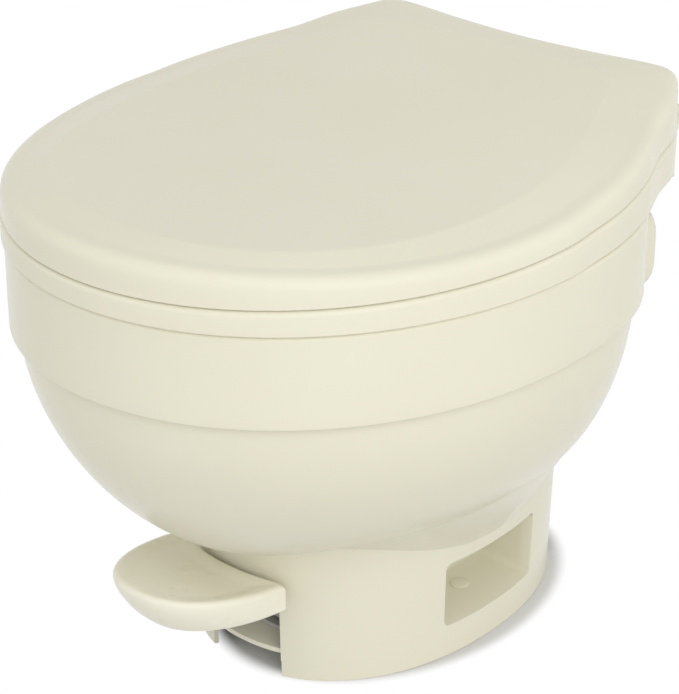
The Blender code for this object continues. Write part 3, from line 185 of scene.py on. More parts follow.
def softbox(name, at, aim, width, height, watts):
    """Area lamp turned from its place towards a point."""
    lamp = bpy.data.objects.new(name, bpy.data.lights.new(name, "AREA"))
    lamp.data.shape = "RECTANGLE"
    lamp.data.size = width
    lamp.data.size_y = height
    lamp.data.energy = watts
    bpy.context.scene.collection.objects.link(lamp)
    aim_line = Matrix.Translation(aim).translation - Matrix.Translation(at).translation
    lamp.matrix_world = Matrix.Translation(at) @ aim_line.to_track_quat("-Z", "Y").to_matrix().to_4x4()


make_floor()
make_sky()
bpy.context.scene.view_settings.view_transform = "Standard"
softbox("key", (2.1, -1.1, 1.6), (0, 0, 0.2), 2.2, 2.2, 29)
softbox("front", (-1.4, -2.0, 0.8), (0, 0, 0.2), 2.2, 1.6, 5)
softbox("top", (0.3, -0.2, 2.6), (0, 0, 0.3), 2.4, 2.4, 6)


# Mouldings in cream plastic: polished tool marks faint, gloss high, colour even with a slow drift.
cream_light = paint(235, 232, 213)
cream_deep = paint(230, 226, 205)


def cream_plastic(name, low_rough=0.20, high_rough=0.27, deep=cream_deep, light=cream_light):
    look = Finish(name)
    drift = look.noise(7.0)
    orange_peel = look.noise(420.0, 1.0)
    haze = look.noise(38.0, 4.0)
    return look.surface(Base_Color=look.blend(drift, deep, light), Specular_IOR_Level=0.13, IOR=1.46,
                        Roughness=look.spread(haze, low_rough, high_rough),
                        Normal=look.bump(orange_peel + haze * 2.0, 0.00004))


cream = cream_plastic("cream_plastic")


def outward(points, faces):
    """Faces turned over where needed, so that the volume they close, a third of the sum of each corner
    dotted with its triangle's area vector, comes out positive."""
    corner = points[faces]
    first = np.cross(corner[:, 1] - corner[:, 0], corner[:, 2] - corner[:, 0])
    second = np.cross(corner[:, 2] - corner[:, 0], corner[:, -1] - corner[:, 0])
    volume = np.einsum("ij,ij->", corner[:, 0], first) + np.einsum("ij,ij->", corner[:, 0], second)
    return faces if volume > 0 else faces[:, ::-1]


def skinned(rows, ends):
    """Closed skin over a grid of rings. ends is loop, where the last ring joins the first, or cap, where
    each end is closed on its ring's mean point. A cap's triangle is a quad with its first corner twice."""
    rows = np.asarray(rows, float)
    count, around = rows.shape[:2]
    points = rows.reshape(-1, 3)
    i = np.arange(count if ends == "loop" else count - 1)[:, None]
    j = np.arange(around)[None]
    here, below = i * around, (i + 1) % count * around
    step = (j + 1) % around
    faces = np.stack([here + j, here + step, below + step, below + j], -1).reshape(-1, 4)
    if ends == "cap":
        j, step, last = j[0], step[0], (count - 1) * around
        top = np.full(around, len(points))
        bottom = top + 1
        faces = np.concatenate([faces, np.stack([top, top, step, j], 1),
                                np.stack([bottom, bottom, last + j, last + step], 1)])
        points = np.concatenate([points, [rows[0].mean(0), rows[-1].mean(0)]])
    return points, outward(points, faces)


widest_y = -0.00265         # frame Y of the lid's widest point, which the shapes are measured from
sharp_from = 32.0           # degrees; edges with less turn than this are shaded smooth


def moulding(name, shells, look, body, slot, *nodes, from_widest=True):
    """Mesh object of closed shells that rides on a body and stands for CAD nodes."""
    points, faces, start = [], [], 0
    for corners, quads in shells:
        points.append(corners)
        faces.append(quads + start)
        start += len(corners)
    points = np.concatenate(points)
    if from_widest:
        points = points + [0, widest_y, 0]
    listed = [tuple(dict.fromkeys(face)) for face in np.concatenate(faces).tolist()]
    mesh = bpy.data.meshes.new(name)
    mesh.from_pydata(points.tolist(), [], listed)
    mesh.shade_smooth()
    mesh.set_sharp_from_angle(angle=math.radians(sharp_from))
    mesh.materials.append(look)
    piece = bpy.data.objects.new(name, mesh)
    bpy.context.scene.collection.objects.link(piece)
    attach(piece, body)
    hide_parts(*nodes)
    return piece


# Pedestal: the oval neck, one moulding with a foot lip, an inner floor, a bolt pocket pushed into each side,
# a slot for the pedal at the front and a service opening at the back. It flares into the bowl at the sides.
neck_half = 0.1098
neck_length = 0.1501
neck_centre = 0.0517
neck_power = 2.20
foot_round = 0.0009
straight_top = 0.0805       # height where the wall starts to run out towards the flare
outlet_y = 0.054
wall = 0.0035
crease_front = 0.102
crease_side = 0.119
crease_rear = 0.120
crease_front_power = 6


def superoval(turn, half, front, rear, front_power, rear_power, centre=0.0):
    """Superellipse: half-width times sin to 2/power across, reach times cos to 2/power along, with the
    front and the rear half each having a reach and a power. Turn runs from the front round on +X."""
    sine, cosine = np.sin(turn), np.cos(turn)
    power = np.where(cosine > 0, 2 / front_power, 2 / rear_power)
    reach = np.where(cosine > 0, front, rear)
    return np.stack([half * np.sign(sine) * np.abs(sine) ** power,
                     centre - reach * np.sign(cosine) * np.abs(cosine) ** power], -1)


def neck_oval(turn, out=0.0):
    """Neck's outline, moved out by a distance."""
    reach = neck_length + out
    return superoval(turn, neck_half + out, reach, reach, neck_power, neck_power, neck_centre)


def crease_at(y):
    """Height where dome and neck meet: squares of the share along the neck take it down at front and rear."""
    ahead = np.clip((neck_centre - y) / neck_length, 0, 1)
    behind = np.clip((y - neck_centre) / neck_length, 0, 1)
    return (crease_side + (crease_front - crease_side) * ahead ** crease_front_power
            + (crease_rear - crease_side) * behind ** 2)


def eased(t):
    """Smooth step from 0 to 1: 3t^2 - 2t^3."""
    return t * t * (3 - 2 * t)


def window(across, up, low, high, corner, edge):
    """Share from 0 outside to 1 inside a rounded rectangle: its signed distance, smoothed over an edge."""
    middle, half = (np.array(low) + high) / 2, (np.array(high) - low) / 2
    reach = np.abs(np.stack([across, up], -1) - middle) - half + corner
    distance = np.hypot(*np.moveaxis(np.maximum(reach, 0), -1, 0)) + np.minimum(reach.max(-1), 0) - corner
    return eased(np.clip(0.5 - distance / edge, 0, 1))


def stations(coarse, edges, spread=(0, 0.0004, 0.0009, 0.0016, 0.003, 0.006)):
    """Sorted places along a line: an even run, with more of them either side of each edge."""
    near = np.concatenate([np.array(edges)[:, None] + np.array(spread) * side for side in (-1, 1)], 1).ravel()
    places = np.unique(np.round(np.concatenate([coarse, near]), 6))
    return places[(places >= coarse[0]) & (places <= coarse[-1])]


pocket_low = (0.002, 0.0265)     # Y and Z of the pocket's window
pocket_high = (0.101, 0.0758)
pocket_back = 0.060
pocket_corner = 0.0045
pocket_edge = 0.0022
slot_half = 0.032
slot_top = 0.074
slot_rear = neck_centre - 0.9 * neck_length + 0.01
service_half = 0.068
service_top = 0.074
service_front = 0.12
floor_low = 0.018
floor_hole = 0.0381
flare_side = 0.038
flare_span = 0.085
taper = 0.022               # how much smaller the neck is at the floor, as a share, than at taper_top
taper_top = 0.095


def flare_at(y):
    """Size of the fillet between neck and dome: a hairline at the front and rear, broad at the sides."""
    side_share = 1 - np.clip((y - neck_centre) / neck_length, -1, 1) ** 2
    return 0.0015 + flare_side * side_share ** 1.5


def run_along(line):
    """Length of a line up to each of its points."""
    return np.concatenate([[0], np.cumsum(np.hypot(*np.diff(line, axis=0).T))])


def perimeter(out=0.0):
    """Points round the neck, moved out by a distance, closer together at the openings' edges."""
    front_y, rear_y = neck_centre - neck_length, neck_centre + neck_length
    turn = np.linspace(0, math.pi, 20001)
    line = neck_oval(turn)
    along = run_along(line)
    front = line[:, 1] < neck_centre
    marks = [np.interp(slot_half, line[front, 0], along[front])]
    marks += [np.interp(y, line[:, 1], along) for y in (pocket_low[0], pocket_high[0])]
    marks += [np.interp(-service_half, -line[~front, 0], along[~front])]
    places = stations(np.linspace(0, along[-1], 90), marks)
    half = neck_oval(np.interp(places, along, turn), out)
    half[[0, -1], 0] = 0
    half[[0, -1], 1] = front_y - out, rear_y + out
    return np.concatenate([half, (half * [-1, 1])[-2:0:-1]])


def make_pedestal_wall():
    """Outer and inner layer of the neck's wall over one grid: heights up the straight part, then shares of the
    way out to the flare. The pockets push both layers inwards."""
    outer, inner = perimeter(), perimeter(-wall)
    heights = stations(np.linspace(0, straight_top, 20), [foot_round, pocket_low[1], pocket_high[1], slot_top])
    crease, flare = crease_at(outer[:, 1]), flare_at(outer[:, 1])
    layers = []
    for line, push in ((outer, 0.0), (inner, wall)):
        rows = []
        for z in heights:
            low, high = np.array(pocket_low) - push, np.array(pocket_high) + push
            share = window(line[:, 1], np.full(len(line), z), low, high, pocket_corner + push, pocket_edge)
            back = np.sign(line[:, 0]) * (pocket_back - push)
            below = max(foot_round - z, 0)
            tuck = foot_round - math.sqrt(foot_round ** 2 - below ** 2) if push == 0 else 0
            across = line[:, 0] + (back - line[:, 0]) * share * (np.abs(line[:, 0]) > pocket_back)
            shrink = (1 - tuck / neck_half) * (1 - taper * (1 - z / taper_top))
            depth = neck_centre + (line[:, 1] - neck_centre) * shrink
            rows.append(np.stack([across * shrink, depth, np.full(len(line), z)], 1))
        for share in np.linspace(0, 1, 13)[1:]:
            z = heights[-1] + (crease - flare - heights[-1]) * share
            shrink = (1 - taper * (1 - heights[-1] / taper_top) * (1 - share))[..., None]
            middle = np.array([0, neck_centre])
            rows.append(np.concatenate([middle + (line - middle) * shrink, z[:, None]], 1))
        layers.append(np.array(rows))
    return layers


# The dome stands before the pedestal's last rows, because the flare ends on it.
dome_power = 1.78
dome_reach = 0.90
half_width = 0.200
lid_front = 0.2342
seat_height = 0.345
bowl_depth = 0.0211
joint_gap = 0.0003
band_height = 0.0628
band_inside = 0.001
band_rear = 0.198
front_squareness = 2.03
band_rear_power = 2.55
step_in = 0.006
rim_z = seat_height - bowl_depth - joint_gap
step_z = rim_z - band_height


def bearing_of(line):
    return np.arctan2(line[:, 0], outlet_y - line[:, 1])


def reach_at(line, bearings):
    """Distance from the outlet's centre, at each bearing, of a line that runs from the front to the rear on +X."""
    return np.interp(bearings, bearing_of(line), np.hypot(line[:, 0], line[:, 1] - outlet_y))


def half_from(reach, bearings):
    return np.stack([reach * np.sin(bearings), outlet_y - reach * np.cos(bearings)], 1)


def moved_in(reach, distance, bearings):
    """Half outline moved inwards along its own normals and read again at the same bearings."""
    line = half_from(reach, bearings)
    full = np.concatenate([line[1:2] * [-1, 1], line, line[-2:-1] * [-1, 1]])
    along = full[2:] - full[:-2]
    normal = np.stack([along[:, 1], -along[:, 0]], 1) / np.hypot(*along.T)[:, None]
    moved = line - normal * distance
    moved[[0, -1], 0] = 0
    return reach_at(moved, bearings)


def ring_of(reach, height, bearings):
    """Whole ring from a half outline: its points at a height, then their mirror images back to the front."""
    half = half_from(reach, bearings)
    half = np.concatenate([half, np.broadcast_to(height, bearings.shape)[:, None]], 1)
    return np.concatenate([half, (half * [-1, 1, 1])[-2:0:-1]])


def fall(share, power, reach):
    """How far down a bowl's side has come: 1 less the p-norm arc of its share inwards, scaled to end at 1."""
    def drop(s):
        return (1 - (1 - s * reach) ** power) ** (1 / power)
    return drop(share) / drop(1.0)


turns = np.linspace(0, math.pi, 3001)
band_half = superoval(turns, half_width - band_inside, lid_front - band_inside, band_rear, front_squareness,
                      band_rear_power)
neck_half_line = neck_oval(turns)


def dome_line(share, bearings, thickness=0.0):
    """Reach and height of the dome at a share of its way from the step in to the neck."""
    step_line = moved_in(reach_at(band_half, bearings), step_in, bearings)
    neck_line = reach_at(neck_half_line, bearings)
    line = ((1 - share) * moved_in(step_line, thickness, bearings)
            + share * moved_in(neck_line, thickness, bearings))
    crease = crease_at(half_from(neck_line, bearings)[:, 1])
    return line, step_z + (crease + thickness - step_z) * fall(share, dome_power, dome_reach)


def make_pedestal():
    """Wall and flare over one grid, with faces left out at slot and service opening and a strip round every
    edge that is then open, and the inner floor's plate. The flare is a quadratic curve from wall to dome."""
    outer, inner = make_pedestal_wall()
    half = outer.shape[1] // 2 + 1
    bearings = np.arctan2(outer[-1][:half, 0], outlet_y - outer[-1][:half, 1])
    bearings[0], bearings[-1] = 0.0, math.pi
    neck_y = outer[-1][:half, 1]
    flare = flare_at(neck_y)
    corner_reach, corner_z = reach_at(neck_half_line, bearings), crease_at(neck_y)
    share = 1 - flare / flare_span
    end_reach, end_z = dome_line(share, bearings)
    flare_rows = []
    for t in np.linspace(0, 1, 13)[1:]:
        reach = (1 - t) ** 2 * corner_reach + 2 * t * (1 - t) * corner_reach + t ** 2 * end_reach
        z = (1 - t) ** 2 * (corner_z - flare) + 2 * t * (1 - t) * corner_z + t ** 2 * (end_z + 0.0001)
        flare_rows.append(ring_of(reach, z, bearings))
    inner_top = np.repeat(inner[-1:], len(flare_rows), 0)
    inner_top[..., 2] += np.linspace(0, 0.0003, len(flare_rows))[:, None]
    outer = np.concatenate([outer, flare_rows])
    inner = np.concatenate([inner, inner_top])
    rows, columns = outer.shape[:2]
    i, j = np.arange(rows - 1)[:, None], np.arange(columns)[None]
    step = (j + 1) % columns
    middle = (outer[:-1] + outer[1:]) / 2
    middle = (middle + np.roll(middle, -1, 1)) / 2
    x, y, z = np.abs(middle[..., 0]), middle[..., 1], middle[..., 2]
    open_slot = (y < slot_rear) & (x < slot_half) & (z < slot_top)
    open_service = (y > service_front) & (x < service_half) & (z < service_top)
    keep = ~(open_slot | open_service)
    here, below = i * columns, (i + 1) * columns
    quads = np.stack([here + j, here + step, below + step, below + j], -1)
    count = rows * columns
    shell = [quads[keep], quads[keep][:, ::-1] + count]
    blank = np.zeros((1, columns), bool)
    after, before, beside = np.vstack([keep, blank]), np.vstack([blank, keep]), np.roll(keep, 1, 1)
    for edges, rise, order in ((after & ~before, 0, [1, 0, 3, 2]), (before & ~after, 0, [0, 1, 2, 3]),
                               (keep & ~beside, 1, [0, 1, 2, 3]), (beside & ~keep, 1, [1, 0, 3, 2])):
        row, column = np.nonzero(edges)
        a, b = row * columns + column, (row + rise) * columns + (column + 1 - rise) % columns
        shell.append(np.stack([a, b, b + count, a + count], 1)[:, order])
    points = np.concatenate([outer.reshape(-1, 3), inner.reshape(-1, 3)])
    wall_shell = (points, outward(points, np.concatenate(shell)))
    bearings = np.linspace(0, math.pi, 61)
    hole = np.full(bearings.shape, floor_hole)
    edge = moved_in(reach_at(neck_half_line, bearings), wall * 1.4, bearings)
    sides = ((hole, 0), (edge, 0), (edge, wall), (hole, wall))
    return [wall_shell, skinned([ring_of(reach, floor_low + up, bearings) for reach, up in sides], "loop")]


moulding("pedestal_moulding", make_pedestal(), cream, "base", "cream_plastic", "pedestal")

# Floor seal: a ring of black rubber round the outlet, squeezed on the floor flange. Bolt plugs: turned caps
# of the same cream plastic that snap into the bolt holes in the pockets' floors.
rubber_black = paint(38, 38, 40)
rubber_worn = paint(58, 58, 60)


def moulded_rubber(name):
    """Matt black rubber: mottled, with a fine grain."""
    look = Finish(name)
    mottle = look.noise(60.0, 3.0)
    grain = look.noise(900.0, 2.0)
    return look.surface(Base_Color=look.blend(mottle, rubber_black, rubber_worn), Specular_IOR_Level=0.35,
                        Roughness=look.spread(mottle, 0.55, 0.75), Normal=look.bump(grain, 0.00005))


rubber = moulded_rubber("black_rubber")


def softened(corners, radius, steps=5, closed=True):
    """Polygon with rounded corners: each becomes the quadratic curve (1-t)^2 a + 2t(1-t) corner + t^2 c, where
    a and c lie a radius away on its two edges. An open line keeps its two end points."""
    corners = np.array(corners, float)

    def towards(other):
        away = other - corners
        length = np.linalg.norm(away, axis=1, keepdims=True)
        return corners + away / length * np.minimum(radius, length * 0.45)

    a, c = towards(np.roll(corners, 1, 0)), towards(np.roll(corners, -1, 0))
    t = np.linspace(0, 1, steps)[:, None, None]
    curve = np.swapaxes((1 - t) ** 2 * a + 2 * t * (1 - t) * corners + t ** 2 * c, 0, 1)
    if closed:
        return curve.reshape(-1, 2)
    return np.concatenate([corners[:1], curve[1:-1].reshape(-1, 2), corners[-1:]])


def rectangle(low, high, radius, steps=5):
    """Rectangle between two corners, with every corner rounded."""
    (left, bottom), (right, top) = low, high
    return softened([(left, bottom), (right, bottom), (right, top), (left, top)], radius, steps)


def full_turn(count):
    """Angles round a circle, the last one step short of the first."""
    return np.linspace(0, 2 * math.pi, count, endpoint=False)


def turned(profile, centre, ends, axis=2, sides=72):
    """Solid of revolution: (radius, height along the axis) swept round a line through a centre. ends is loop
    for a closed profile, cap for one that runs from the line out and back to it."""
    profile = np.array(profile, float)
    angle = full_turn(sides)
    rows = np.zeros((len(profile), sides, 3))
    across, up = [(1, 2), (2, 0), (0, 1)][axis]
    rows[..., across] = profile[:, :1] * np.cos(angle)
    rows[..., up] = profile[:, :1] * np.sin(angle)
    rows[..., axis] = profile[:, 1:]
    return skinned(rows + np.array(centre), ends)


spigot = 0.0375
seal_edge = 0.052
plug_head = 0.0075
plug_high = 0.0016
plug_ease = 0.0004
on_axis = 0.0002            # radius where a plug's profile starts and ends
bolt_x = 0.0762
bolt_hole = 0.0042
seal_ring = rectangle((spigot + joint_gap, joint_gap), (seal_edge, floor_low - joint_gap), 0.002)
moulding("floor_seal_ring", [turned(seal_ring, (0, outlet_y, 0), "loop")], rubber, "base", "black_rubber",
         "floor_seal")


def bolt_plug(side):
    """Low domed head on the pocket's floor, over a stem that fills the hole."""
    low = pocket_low[1] + joint_gap
    stem = bolt_hole - joint_gap
    angle = np.linspace(0, math.pi / 2, 9)
    dome = np.stack([(plug_head - plug_ease) * np.sin(angle),
                     low + plug_ease + (plug_high - plug_ease) * np.cos(angle)], 1)
    dome[0, 0] = on_axis
    rest = [(plug_head, low + 0.0003), (plug_head - 0.0002, low), (stem, low), (stem, floor_low),
            (on_axis, floor_low)]
    return [turned(np.concatenate([dome, rest]), (side * bolt_x, outlet_y, 0), "cap", sides=48)]


moulding("bolt_plug_left_cap", bolt_plug(-1), cream, "base", "cream_plastic", "bolt_plug_left")
moulding("bolt_plug_right_cap", bolt_plug(1), cream, "base", "cream_plastic", "bolt_plug_right")

# Bowl shell: one deep moulding with a rolled rim, an upper band, a step and a round dome down to the neck.
open_half = 0.150
open_front = 0.185
open_rear = 0.135
open_power = 2.15
rim_roll = 0.003
step_roll = 0.0015
step_lip = 0.0022           # width and height of the groove behind the band's lower edge
step_groove = 0.0020
flange = 0.012
opening_half = superoval(turns, open_half, open_front, open_rear, open_power, open_power)
round_bearings = np.linspace(0, math.pi, 181)


def rounded(distance, count=6, power=2):
    """Pairs of inward and downward moves round a corner of |x|^p + |z|^p = 1: the distance times 1 less cos or
    sin to 2/p. A power above 2 gives a flatter side and a tighter bend than a circle."""
    angle = np.linspace(0, math.pi / 2, count)
    return distance * (1 - np.stack([np.cos(angle), np.sin(angle)], 1) ** (2 / power))


def make_bowl_shell():
    """Rings from the rim's opening out over the roll, down the band, in under the step, down the dome and
    back up inside."""
    b = round_bearings
    band, opening = reach_at(band_half, b), reach_at(opening_half, b)
    rows = [ring_of(opening, rim_z, b)]
    rows += [ring_of(moved_in(band, inward, b), rim_z - down, b) for inward, down in rounded(rim_roll)[::-1]]
    rows += [ring_of(band, z, b) for z in np.linspace(rim_z - rim_roll - 0.001, step_z + step_roll, 8)]
    rows += [ring_of(moved_in(band, inward, b), step_z + down, b) for inward, down in rounded(step_roll)[1:]]
    step_line = moved_in(band, step_in, b)
    lip, groove_z = moved_in(step_line, -step_lip, b), step_z + step_groove
    rows += [ring_of(lip, step_z, b), ring_of(lip, groove_z, b), ring_of(step_line, groove_z, b)]
    rows += [ring_of(*dome_line(share, b), b) for share in np.linspace(0.002, 1, 46)]
    neck_line = reach_at(neck_half_line, b)
    inner_edge = moved_in(neck_line, flange, b)
    crease = crease_at(half_from(neck_line, b)[:, 1])
    rows += [ring_of(inner_edge, crease, b), ring_of(inner_edge, crease + wall, b)]
    rows += [ring_of(*dome_line(share, b, wall), b) for share in np.linspace(1, 0.05, 14)]
    inside, ceiling_z = moved_in(band, wall, b), rim_z - wall
    rows += [ring_of(inside, step_z + step_in, b), ring_of(inside, ceiling_z, b), ring_of(opening, ceiling_z, b)]
    return [skinned(rows, "loop")]


moulding("bowl_shell_moulding", make_bowl_shell(), cream, "base", "cream_plastic", "bowl_shell")

# Basin: the inner bowl, hung from the rim inside the shell, polished, down to a straight throat and a flange.
collar_z = 0.09744
outlet_radius = 0.030
collar_flange = 0.046
throat_z = 0.012
basin_power = 1.9
basin_reach = 0.97
basin_lip = 0.012
thin = 0.003
polished = cream_plastic("polished_cream_plastic", 0.10, 0.16)


def make_basin():
    """Rings from the hung lip down the inside to the throat, out under the flange and back up outside."""
    b = round_bearings
    top, low = rim_z - wall - joint_gap, collar_z + throat_z
    opening = reach_at(opening_half, b)
    outlet = np.full(b.shape, outlet_radius)
    lip = moved_in(opening, -basin_lip, b)

    def side(share, thickness):
        line = (1 - share) * moved_in(opening, -thickness, b) + share * (outlet + thickness)
        return ring_of(line, top - thickness + (low - top) * fall(share, basin_power, basin_reach), b)

    rows = [ring_of(lip, top, b), ring_of(moved_in(opening, -0.002, b), top, b)]
    rows += [side(share, 0.0) for share in np.linspace(0.01, 1, 48)]
    rows += [ring_of(outlet, z, b) for z in np.linspace(low - 0.002, collar_z, 4)]
    flange_edge, flange_top = outlet + collar_flange - outlet_radius, collar_z + thin
    rows += [ring_of(flange_edge, collar_z, b), ring_of(flange_edge, flange_top, b),
             ring_of(outlet + thin, flange_top, b)]
    rows += [side(share, thin) for share in np.linspace(1, 0.08, 20)]
    rows += [ring_of(moved_in(opening, -thin, b), top - thin, b), ring_of(lip, top - thin, b)]
    return [skinned(rows, "loop")]


moulding("basin_moulding", make_basin(), polished, "base", "cream_plastic", "basin")

# Valve under the basin: a grey drum with a flat rubber seal clamped on its top by three screws, and the white
# half-ball that swings aside on two stub shafts. Drum, screws and shafts keep their CAD shapes.
def moulded_nylon(name, dark, light, low_rough=0.32, high_rough=0.46):
    """Injection-moulded nylon or acetal: even colour, satin, with a fine spark-eroded grain."""
    look = Finish(name)
    drift = look.noise(24.0, 3.0)
    grain = look.noise(1400.0, 2.0)
    return look.surface(Base_Color=look.blend(drift, dark, light), Specular_IOR_Level=0.4,
                        Roughness=look.spread(drift, low_rough, high_rough), Normal=look.bump(grain, 0.00003))


def turned_metal(name, dark, light, scratch_scale=(900.0, 900.0, 60.0)):
    """Bare metal: a slow tint, and a grain drawn out along one way that roughens it and marks its surface."""
    look = Finish(name)
    tint = look.noise(35.0, 3.0)
    drawn = look.node("Mapping", None, {"Vector": look.place, "Scale": scratch_scale})
    grain = look.node("TexNoise", None, {"Vector": drawn, "Scale": 1.0, "Detail": 3.0})
    return look.surface(Base_Color=look.blend(tint, dark, light), Metallic=1.0,
                        Roughness=look.spread(grain, 0.22, 0.42), Normal=look.bump(grain, 0.00002))


nylon = moulded_nylon("grey_nylon", paint(178, 178, 172), paint(190, 190, 184))
acetal = moulded_nylon("white_acetal", paint(228, 228, 222), paint(238, 238, 232), 0.24, 0.34)
steel = turned_metal("satin_steel", paint(176, 178, 182), paint(204, 206, 210))


def dress(look, *nodes):
    """New material on CAD nodes that keep their shape."""
    for name in nodes:
        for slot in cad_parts[name].material_slots:
            slot.material = look


dress(nylon, "valve_chamber")
dress(steel, "flange_screw_1", "flange_screw_2", "flange_screw_3")
chamber_radius = 0.050
ball_z = 0.060
ball_radius = chamber_radius - 0.003 - 0.002
ball_skin = 0.0035
ball_half_angle = math.radians(47)
ball_arc = math.radians(80)
hub_radius = 0.009
hub_in = chamber_radius - 0.014
hub_out = chamber_radius - 0.0045
hub_bore = 0.0053
seal_outer = outlet_radius + 0.010
seal_low = 0.09414
seal_profile = rectangle((outlet_radius, seal_low), (seal_outer, collar_z - joint_gap), 0.0008)
moulding("outlet_seal_ring", [turned(seal_profile, (0, outlet_y, 0), "loop")], rubber, "base", "black_rubber",
         "outlet_seal")


def make_ball():
    """Slice of a sphere: rectangles in turn and arc, grown from its middle on the outside and shrunk again on
    the inside, bent to (r cos v sin u, r sin v, r cos v cos u). Its hubs are turned rings."""
    run = np.linspace(-1, 1, 25)[:-1]
    edge = np.concatenate([np.stack([run, -1 + 0 * run], 1), np.stack([1 + 0 * run, run], 1),
                           np.stack([-run, 1 + 0 * run], 1), np.stack([-1 + 0 * run, -run], 1)])
    shares = np.linspace(0.04, 1, 18)
    size = np.concatenate([shares, shares[::-1]])[:, None, None]
    radius = np.repeat([ball_radius, ball_radius - ball_skin], len(shares))[:, None]
    spread = edge * size * [ball_half_angle, ball_arc]
    u, v = spread[..., 0], spread[..., 1]
    rows = np.stack([radius * np.cos(v) * np.sin(u), outlet_y + radius * np.sin(v),
                     ball_z + radius * np.cos(v) * np.cos(u)], -1)
    shells = [skinned(rows, "cap")]
    for side in (-1, 1):
        ring_profile = rectangle((hub_bore, side * hub_in), (hub_radius, side * hub_out), 0.0006, 4)
        shells.append(turned(ring_profile, (0, outlet_y, ball_z), "loop", axis=1, sides=48))
    return shells


moulding("half_ball", make_ball(), acetal, "ball", "white_plastic", "waste_ball")

# Drive in the neck's front: the pedal's arm lifts a toothed rack in its guide, and the pinion on the front
# shaft turns the half-ball. A stainless coil presses the rack down again.
dress(steel, "drive_shaft", "rear_shaft", "guide_screw_1", "guide_screw_2")
dress(nylon, "drive_pinion", "rack_guide")
dress(acetal, "drive_rack", "shaft_bush_front", "shaft_bush_rear", "valve_cam")
spring_turns = 7
spring_mean = 0.0036
spring_wire = 0.0005
spring_x = 0.0134
spring_y = -0.0175
spring_low = 0.0688
spring_high = 0.0932
spring_steel = turned_metal("drawn_wire", paint(150, 152, 156), paint(186, 188, 192),
                            (1200.0, 1200.0, 1200.0))


def tube(route, radius, sides=16):
    """Tube along a route, with each ring square to it: the ring's first axis is X made square to the route's
    tangent. Both ends close in a low dome."""
    along = np.gradient(route, axis=0)
    along /= np.linalg.norm(along, axis=1, keepdims=True)
    first = np.array([1.0, 0, 0]) - along * along[:, :1]
    first /= np.linalg.norm(first, axis=1, keepdims=True)
    second = np.cross(along, first)
    angle = full_turn(sides)[None, :, None]
    circle = np.cos(angle) * first[:, None] + np.sin(angle) * second[:, None]
    size = np.full(len(route), radius)
    size[[0, -1]] = radius * 0.85
    return skinned(route[:, None] + circle * size[:, None, None], "cap")


def coil_tube():
    """Helix of round wire. Each ring lies in the plane of axis and radius, which suits its low pitch."""
    turn = np.linspace(0, 2 * math.pi * spring_turns, spring_turns * 40 + 1)
    height = np.linspace(spring_low, spring_high, len(turn))
    out = np.stack([np.cos(turn), np.sin(turn), 0 * turn], 1)
    centre = np.array([spring_x, spring_y, 0]) + out * spring_mean + np.stack([0 * turn, 0 * turn, height], 1)
    angle = full_turn(12)[None, :, None]
    circle = np.cos(angle) * out[:, None] + np.sin(angle) * [0, 0, 1.0]
    return skinned(centre[:, None] + spring_wire * circle, "cap")


spring = moulding("return_spring_coil", [coil_tube()], spring_steel, "base", "stainless_steel", "return_spring")
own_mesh(spring)

# Foot pedal: a half-moon dish that hugs the neck, hollow below, with a rolled lip round its edge. It stands
# a little to the left of the arm's tongue that carries it.
dish_x = -0.0115
dish_half = 0.0560
dish_front = 0.187
dish_middle = 0.0994
dish_power = 2.35
dish_gap = 0.0045
dish_inner_half = 0.0495
dish_rim_rear = 0.0825
dish_rim_front = 0.0965
dish_foot_rear = 0.0635
dish_foot_front = 0.0675
dish_lean = 0.015
dish_roll = 0.004
dish_hollow = 0.003
dish_floor_in = 0.019
dish_edge = 0.0006          # round of the skirt's lower edge
dish_heart = (-0.0115, -0.140)
boss_low = (-0.022, -0.148, 0.0713)     # block under the dish's floor, which the arm's tongue is screwed to
boss_high = (0.022, -0.120, 0.0815)


def eased_box(low, high, ease):
    """Box with rounded edges: a sphere's points pushed apart by the box's half sizes less the ease."""
    low, high = np.array(low, float), np.array(high, float)
    middle, half = (low + high) / 2, (high - low) / 2 - ease
    polar = np.concatenate([np.linspace(0.02, math.pi / 2, 7), np.linspace(math.pi / 2, math.pi - 0.02, 7)])
    turn = np.concatenate([np.linspace(k * math.pi / 2, (k + 1) * math.pi / 2, 7) for k in range(4)])
    polar = polar[:, None]
    sphere = np.stack([np.sin(polar) * np.cos(turn), np.sin(polar) * np.sin(turn),
                       np.cos(polar) + 0 * turn], -1)
    side_of = np.ones((14, 28, 3))
    side_of[7:, :, 2] = -1
    side_of[:, 7:21, 0] = -1
    side_of[:, 14:, 1] = -1
    return skinned(middle + side_of * half + ease * sphere, "cap")


def dish_outline(inward=0.0, lean=0.0):
    """Half ellipse at the front from tip to tip, then back along the neck's own superellipse. The lean moves
    the front in by a distance times sin(0.75 turn): none at the right tip, all of it past the front."""
    turn = np.linspace(0, math.pi, 90)
    across = np.sign(np.cos(turn)) * np.abs(np.cos(turn)) ** (2 / dish_power)
    front_in = inward + lean * np.sin(0.75 * turn)
    middle = dish_middle + inward
    front = np.stack([dish_x + (dish_half - front_in) * across,
                      -middle - (dish_front - front_in - middle) * np.abs(np.sin(turn)) ** (2 / dish_power)], 1)
    x = dish_x + (inward - dish_inner_half) * np.cos(turn)
    out = dish_gap + inward
    share = (1 - np.abs(x / (neck_half + out)) ** neck_power) ** (1 / neck_power)
    return np.concatenate([front, np.stack([x, neck_centre - (neck_length + out) * share], 1)])


def dish_height(y, rear=dish_rim_rear, front=dish_rim_front):
    neck_front = neck_centre - neck_length
    share = np.clip((neck_front - y) / (neck_front + dish_front), 0, 1)
    return rear + (front - rear) * share


